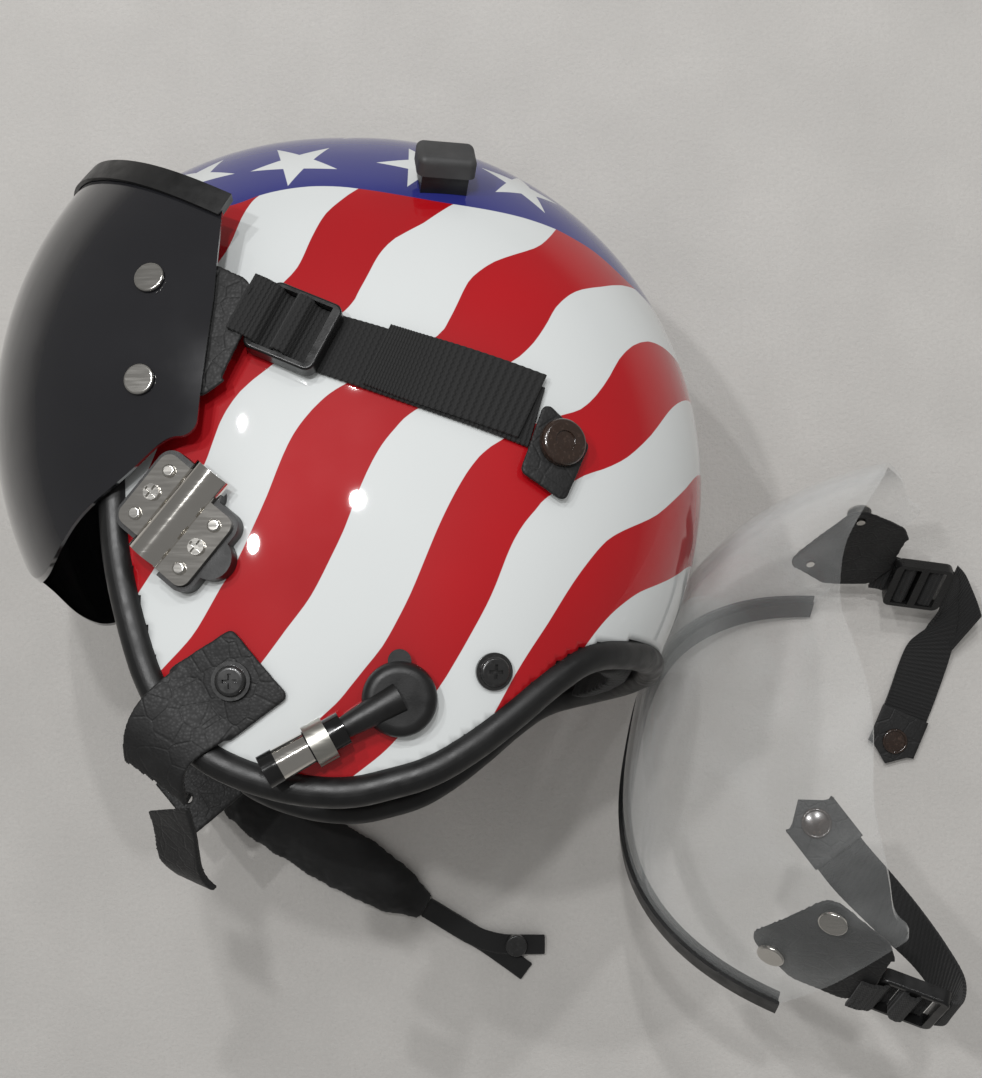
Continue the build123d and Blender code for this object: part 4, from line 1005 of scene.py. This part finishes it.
class HELMET_OT_rubber(bpy.types.Operator):
    """Finishes the edge roll, bumper, receiver bases and comm boot"""

    bl_idname = "helmet.rubber"
    bl_label = "Rubber parts"

    def execute(self, context):
        dress(black_rubber(), "edge_roll", "receiver_base_left", "receiver_base_right", "comm_boot", "bumper_neck")
        # The bumper is one black rubber block. Its head gets a lighter rubber than its black neck: painted light on
        # the face that catches the lamps.
        dress(made("bumper_rubber", moulded, 0.035, 0.6), "bumper_head")
        dress(made("trim_rubber", moulded, 0.006, 0.4), "visor_brow_trim", "spare_brow_trim")
        return {"FINISHED"}


class HELMET_OT_inside(bpy.types.Operator):
    """Finishes the foam liner, ear cups and earphones"""

    bl_idname = "helmet.inside"
    bl_label = "Liner and ear cups"

    def execute(self, context):
        dress(made("liner_foam", foam, 0.025), "foam_liner")
        dress(made("cup_plastic", moulded, 0.015, 0.45), "ear_cup_left", "ear_cup_right")
        dress(made("earphone_plastic", moulded, 0.02, 0.5), "earphone_left", "earphone_right")
        return {"FINISHED"}


class HELMET_OT_hardware(bpy.types.Operator):
    """Finishes the mask receivers, screws, snaps, rivets and the comm plug"""

    bl_idname = "helmet.hardware"
    bl_label = "Metal hardware"

    def execute(self, context):
        chrome = made("receiver_chrome", metal, (0.88, 0.85, 0.8), 0.09)
        dress(chrome, "receiver_plate_left", "receiver_plate_right", "plug_sleeve")
        dress(bright_nickel(), "receiver_screws", "receiver_studs", "visor_rivets", "spare_rivets")
        dress(made("clip_steel", metal, (0.62, 0.61, 0.56), 0.3), "plug_clip")
        black = made("black_enamel", enamel, (0.012, 0.012, 0.012), 0.25)
        dress(black, "side_screws", "chin_screws", "snap_posts", "chin_snap")
        dress(made("brown_enamel", enamel, (0.022, 0.012, 0.008), 0.12), "snap_cap_left", "snap_cap_right")
        dress(made("plug_gloss", moulded, 0.006, 0.16, 0.002, 0.00001), "plug_body", "plug_nose")
        return {"FINISHED"}


class HELMET_OT_visors(bpy.types.Operator):
    """Finishes both lenses and buckles and models the leather side pieces"""

    bl_idname = "helmet.visors"
    bl_label = "Visors"

    def execute(self, context):
        dress(made("smoke_lens", tinted_lens), "visor_lens")
        dress(made("clear_lens", clear_lens), "spare_lens")
        names = [f"{set_name}_buckle_{side}" for set_name in ("visor", "spare") for side in ("left", "right")]
        dress(black_plastic(), *names)
        for set_name, body in (("visor", "visor"), ("spare", "spare_visor")):
            for side in ("left", "right"):
                node = f"{set_name}_yoke_{side}"
                yoke = soft_copy("leather_" + node, node, 0.75, 2, 0.0, 0.2, 0.03)
                settle(yoke, black_leather(), body, "leather", node)
        return {"FINISHED"}


class HELMET_OT_stage(bpy.types.Operator):
    """Lays the floor, sets the lamps and the world, and places the camera"""

    bl_idname = "helmet.stage"
    bl_label = "Floor, lamps and camera"

    def execute(self, context):
        look = context.scene.helmet_stage
        deselect()
        bpy.ops.mesh.primitive_plane_add(size=8.0, location=(0, 0, 0))
        floor = context.object
        floor.name = "floor"
        s = Shader("pale_floor")
        fibres = s.noise(0.0022, 6.0, roughness=0.7)
        cloud = s.spread(s.noise(0.06, 5.0), 0.0, 1.0, 0.3, 0.7)
        tone = s.mix(cloud, shade(look.floor), shade([v * 0.9 for v in look.floor]))
        s.set(
            Base_Color=s.mix(s.spread(fibres, 0.0, 0.5, 0.35, 0.75), tone, shade([v * 0.8 for v in look.floor])),
            Roughness=0.8,
            Normal=s.bump(fibres, 0.0012, 0.6),
        )
        floor.data.materials.append(s.material)
        self.lamps(context, look)
        self.camera(context)
        context.scene.view_settings.view_transform = "Standard"
        return {"FINISHED"}

    def lamps(self, context, look):
        world = bpy.data.worlds.new("room")
        context.scene.world = world
        world.use_nodes = True
        background = world.node_tree.nodes["Background"]
        background.inputs["Color"].default_value = (1.0, 0.99, 0.97, 1)
        nodes, links = world.node_tree.nodes, world.node_tree.links
        ray = nodes.new("ShaderNodeLightPath")
        dimmer = nodes.new("ShaderNodeMapRange")
        dimmer.inputs["To Min"].default_value = look.room
        dimmer.inputs["To Max"].default_value = look.room * 0.36
        links.new(ray.outputs["Is Glossy Ray"], dimmer.inputs["Value"])
        links.new(dimmer.outputs["Result"], background.inputs["Strength"])
        for name, spot, aim, size, power in (
            ("lamp_front_low", (-0.5, 0.38, 1.5), (0, 0, 0.1), 0.05, look.lamp),
            ("lamp_front_high", (-0.62, 0.78, 1.5), (0, 0, 0.1), 0.04, look.lamp),
            ("lamp_back_low", (-0.08, 0.5, 1.5), (0, 0, 0.1), 0.05, look.lamp),
            ("lamp_back_high", (-0.1, 0.95, 1.5), (0, 0, 0.1), 0.04, look.lamp),
            ("lamp_far", (0.75, 1.1, 1.6), (0, 0, 0.1), 0.12, look.lamp * 0.6),
        ):
            lamp = bpy.data.lights.new(name, "AREA")
            lamp.shape = "DISK"
            lamp.size = size
            lamp.energy = power
            holder = bpy.data.objects.new(name, lamp)
            holder.location = spot
            holder.rotation_euler = (Vector(aim) - Vector(spot)).to_track_quat("-Z", "Y").to_euler()
            context.scene.collection.objects.link(holder)

    def camera(self, context):
        camera = bpy.data.cameras.new("camera")
        camera.sensor_fit = "AUTO"
        camera.sensor_width = 36.0
        camera.lens = CAMERA_LENS
        holder = bpy.data.objects.new("camera", camera)
        holder.location = (HELMET_ORIGIN.x + CAMERA_ASIDE[0], HELMET_ORIGIN.y + CAMERA_ASIDE[1], CAMERA_HEIGHT)
        context.scene.collection.objects.link(holder)
        context.scene.camera = holder


# Sizes and colours that a user would change
class HelmetPaint(bpy.types.PropertyGroup):
    red: bpy.props.FloatVectorProperty(
        name="Red", description="Colour of the dark stripes", subtype="COLOR", size=3, default=(0.36, 0.002, 0.006)
    )
    white: bpy.props.FloatVectorProperty(
        name="White", description="Colour of the light stripes and stars", subtype="COLOR", size=3,
        default=(0.56, 0.58, 0.58),
    )
    navy: bpy.props.FloatVectorProperty(
        name="Navy", description="Colour of the crown", subtype="COLOR", size=3, default=(0.018, 0.022, 0.17)
    )
    star_radius: bpy.props.FloatProperty(
        name="Star radius", description="Centre of a star to its tips", subtype="DISTANCE", default=0.0205
    )


class HelmetSoft(bpy.types.PropertyGroup):
    grain: bpy.props.FloatProperty(
        name="Leather grain", description="Width of one pebble in the leather", subtype="DISTANCE", default=0.0012
    )
    rib: bpy.props.FloatProperty(
        name="Webbing rib", description="Pitch of the webbing's cross ribs in millimetres", default=2.1
    )


class HelmetStage(bpy.types.PropertyGroup):
    floor: bpy.props.FloatVectorProperty(
        name="Floor", description="Colour of the floor", subtype="COLOR", size=3, default=(0.5, 0.485, 0.465)
    )
    room: bpy.props.FloatProperty(
        name="Room light", description="Brightness of the light from all round", default=0.5
    )
    lamp: bpy.props.FloatProperty(
        name="Lamp", description="Power of one ceiling lamp", subtype="POWER", default=4.6
    )


PIECES = (
    HELMET_OT_shell,
    HELMET_OT_rubber,
    HELMET_OT_inside,
    HELMET_OT_pads,
    HELMET_OT_hardware,
    HELMET_OT_visors,
    HELMET_OT_side_straps,
    HELMET_OT_buckle_webbing,
    HELMET_OT_tabs,
    HELMET_OT_chin_strap,
    HELMET_OT_stage,
)


class HELMET_PT_parts(bpy.types.Panel):
    bl_label = "Flight helmet"
    bl_idname = "HELMET_PT_parts"
    bl_space_type = "VIEW_3D"
    bl_region_type = "UI"
    bl_category = "Helmet"

    def draw(self, context):
        scene = context.scene
        for group in (scene.helmet_paint, scene.helmet_soft, scene.helmet_stage):
            for name in group.__annotations__:
                self.layout.prop(group, name)
        for piece in PIECES:
            self.layout.operator(piece.bl_idname)


GROUPS = (("helmet_paint", HelmetPaint), ("helmet_soft", HelmetSoft), ("helmet_stage", HelmetStage))


def register():
    for name, group in GROUPS:
        bpy.utils.register_class(group)
        setattr(bpy.types.Scene, name, bpy.props.PointerProperty(type=group))
    for piece in PIECES:
        bpy.utils.register_class(piece)
    bpy.utils.register_class(HELMET_PT_parts)


def unregister():
    bpy.utils.unregister_class(HELMET_PT_parts)
    for piece in reversed(PIECES):
        bpy.utils.unregister_class(piece)
    for name, group in reversed(GROUPS):
        delattr(bpy.types.Scene, name)
        bpy.utils.unregister_class(group)


def main():
    register()
    for piece in PIECES:
        family, name = piece.bl_idname.split(".")
        getattr(getattr(bpy.ops, family), name)()


if __name__ == "__main__":
    main()
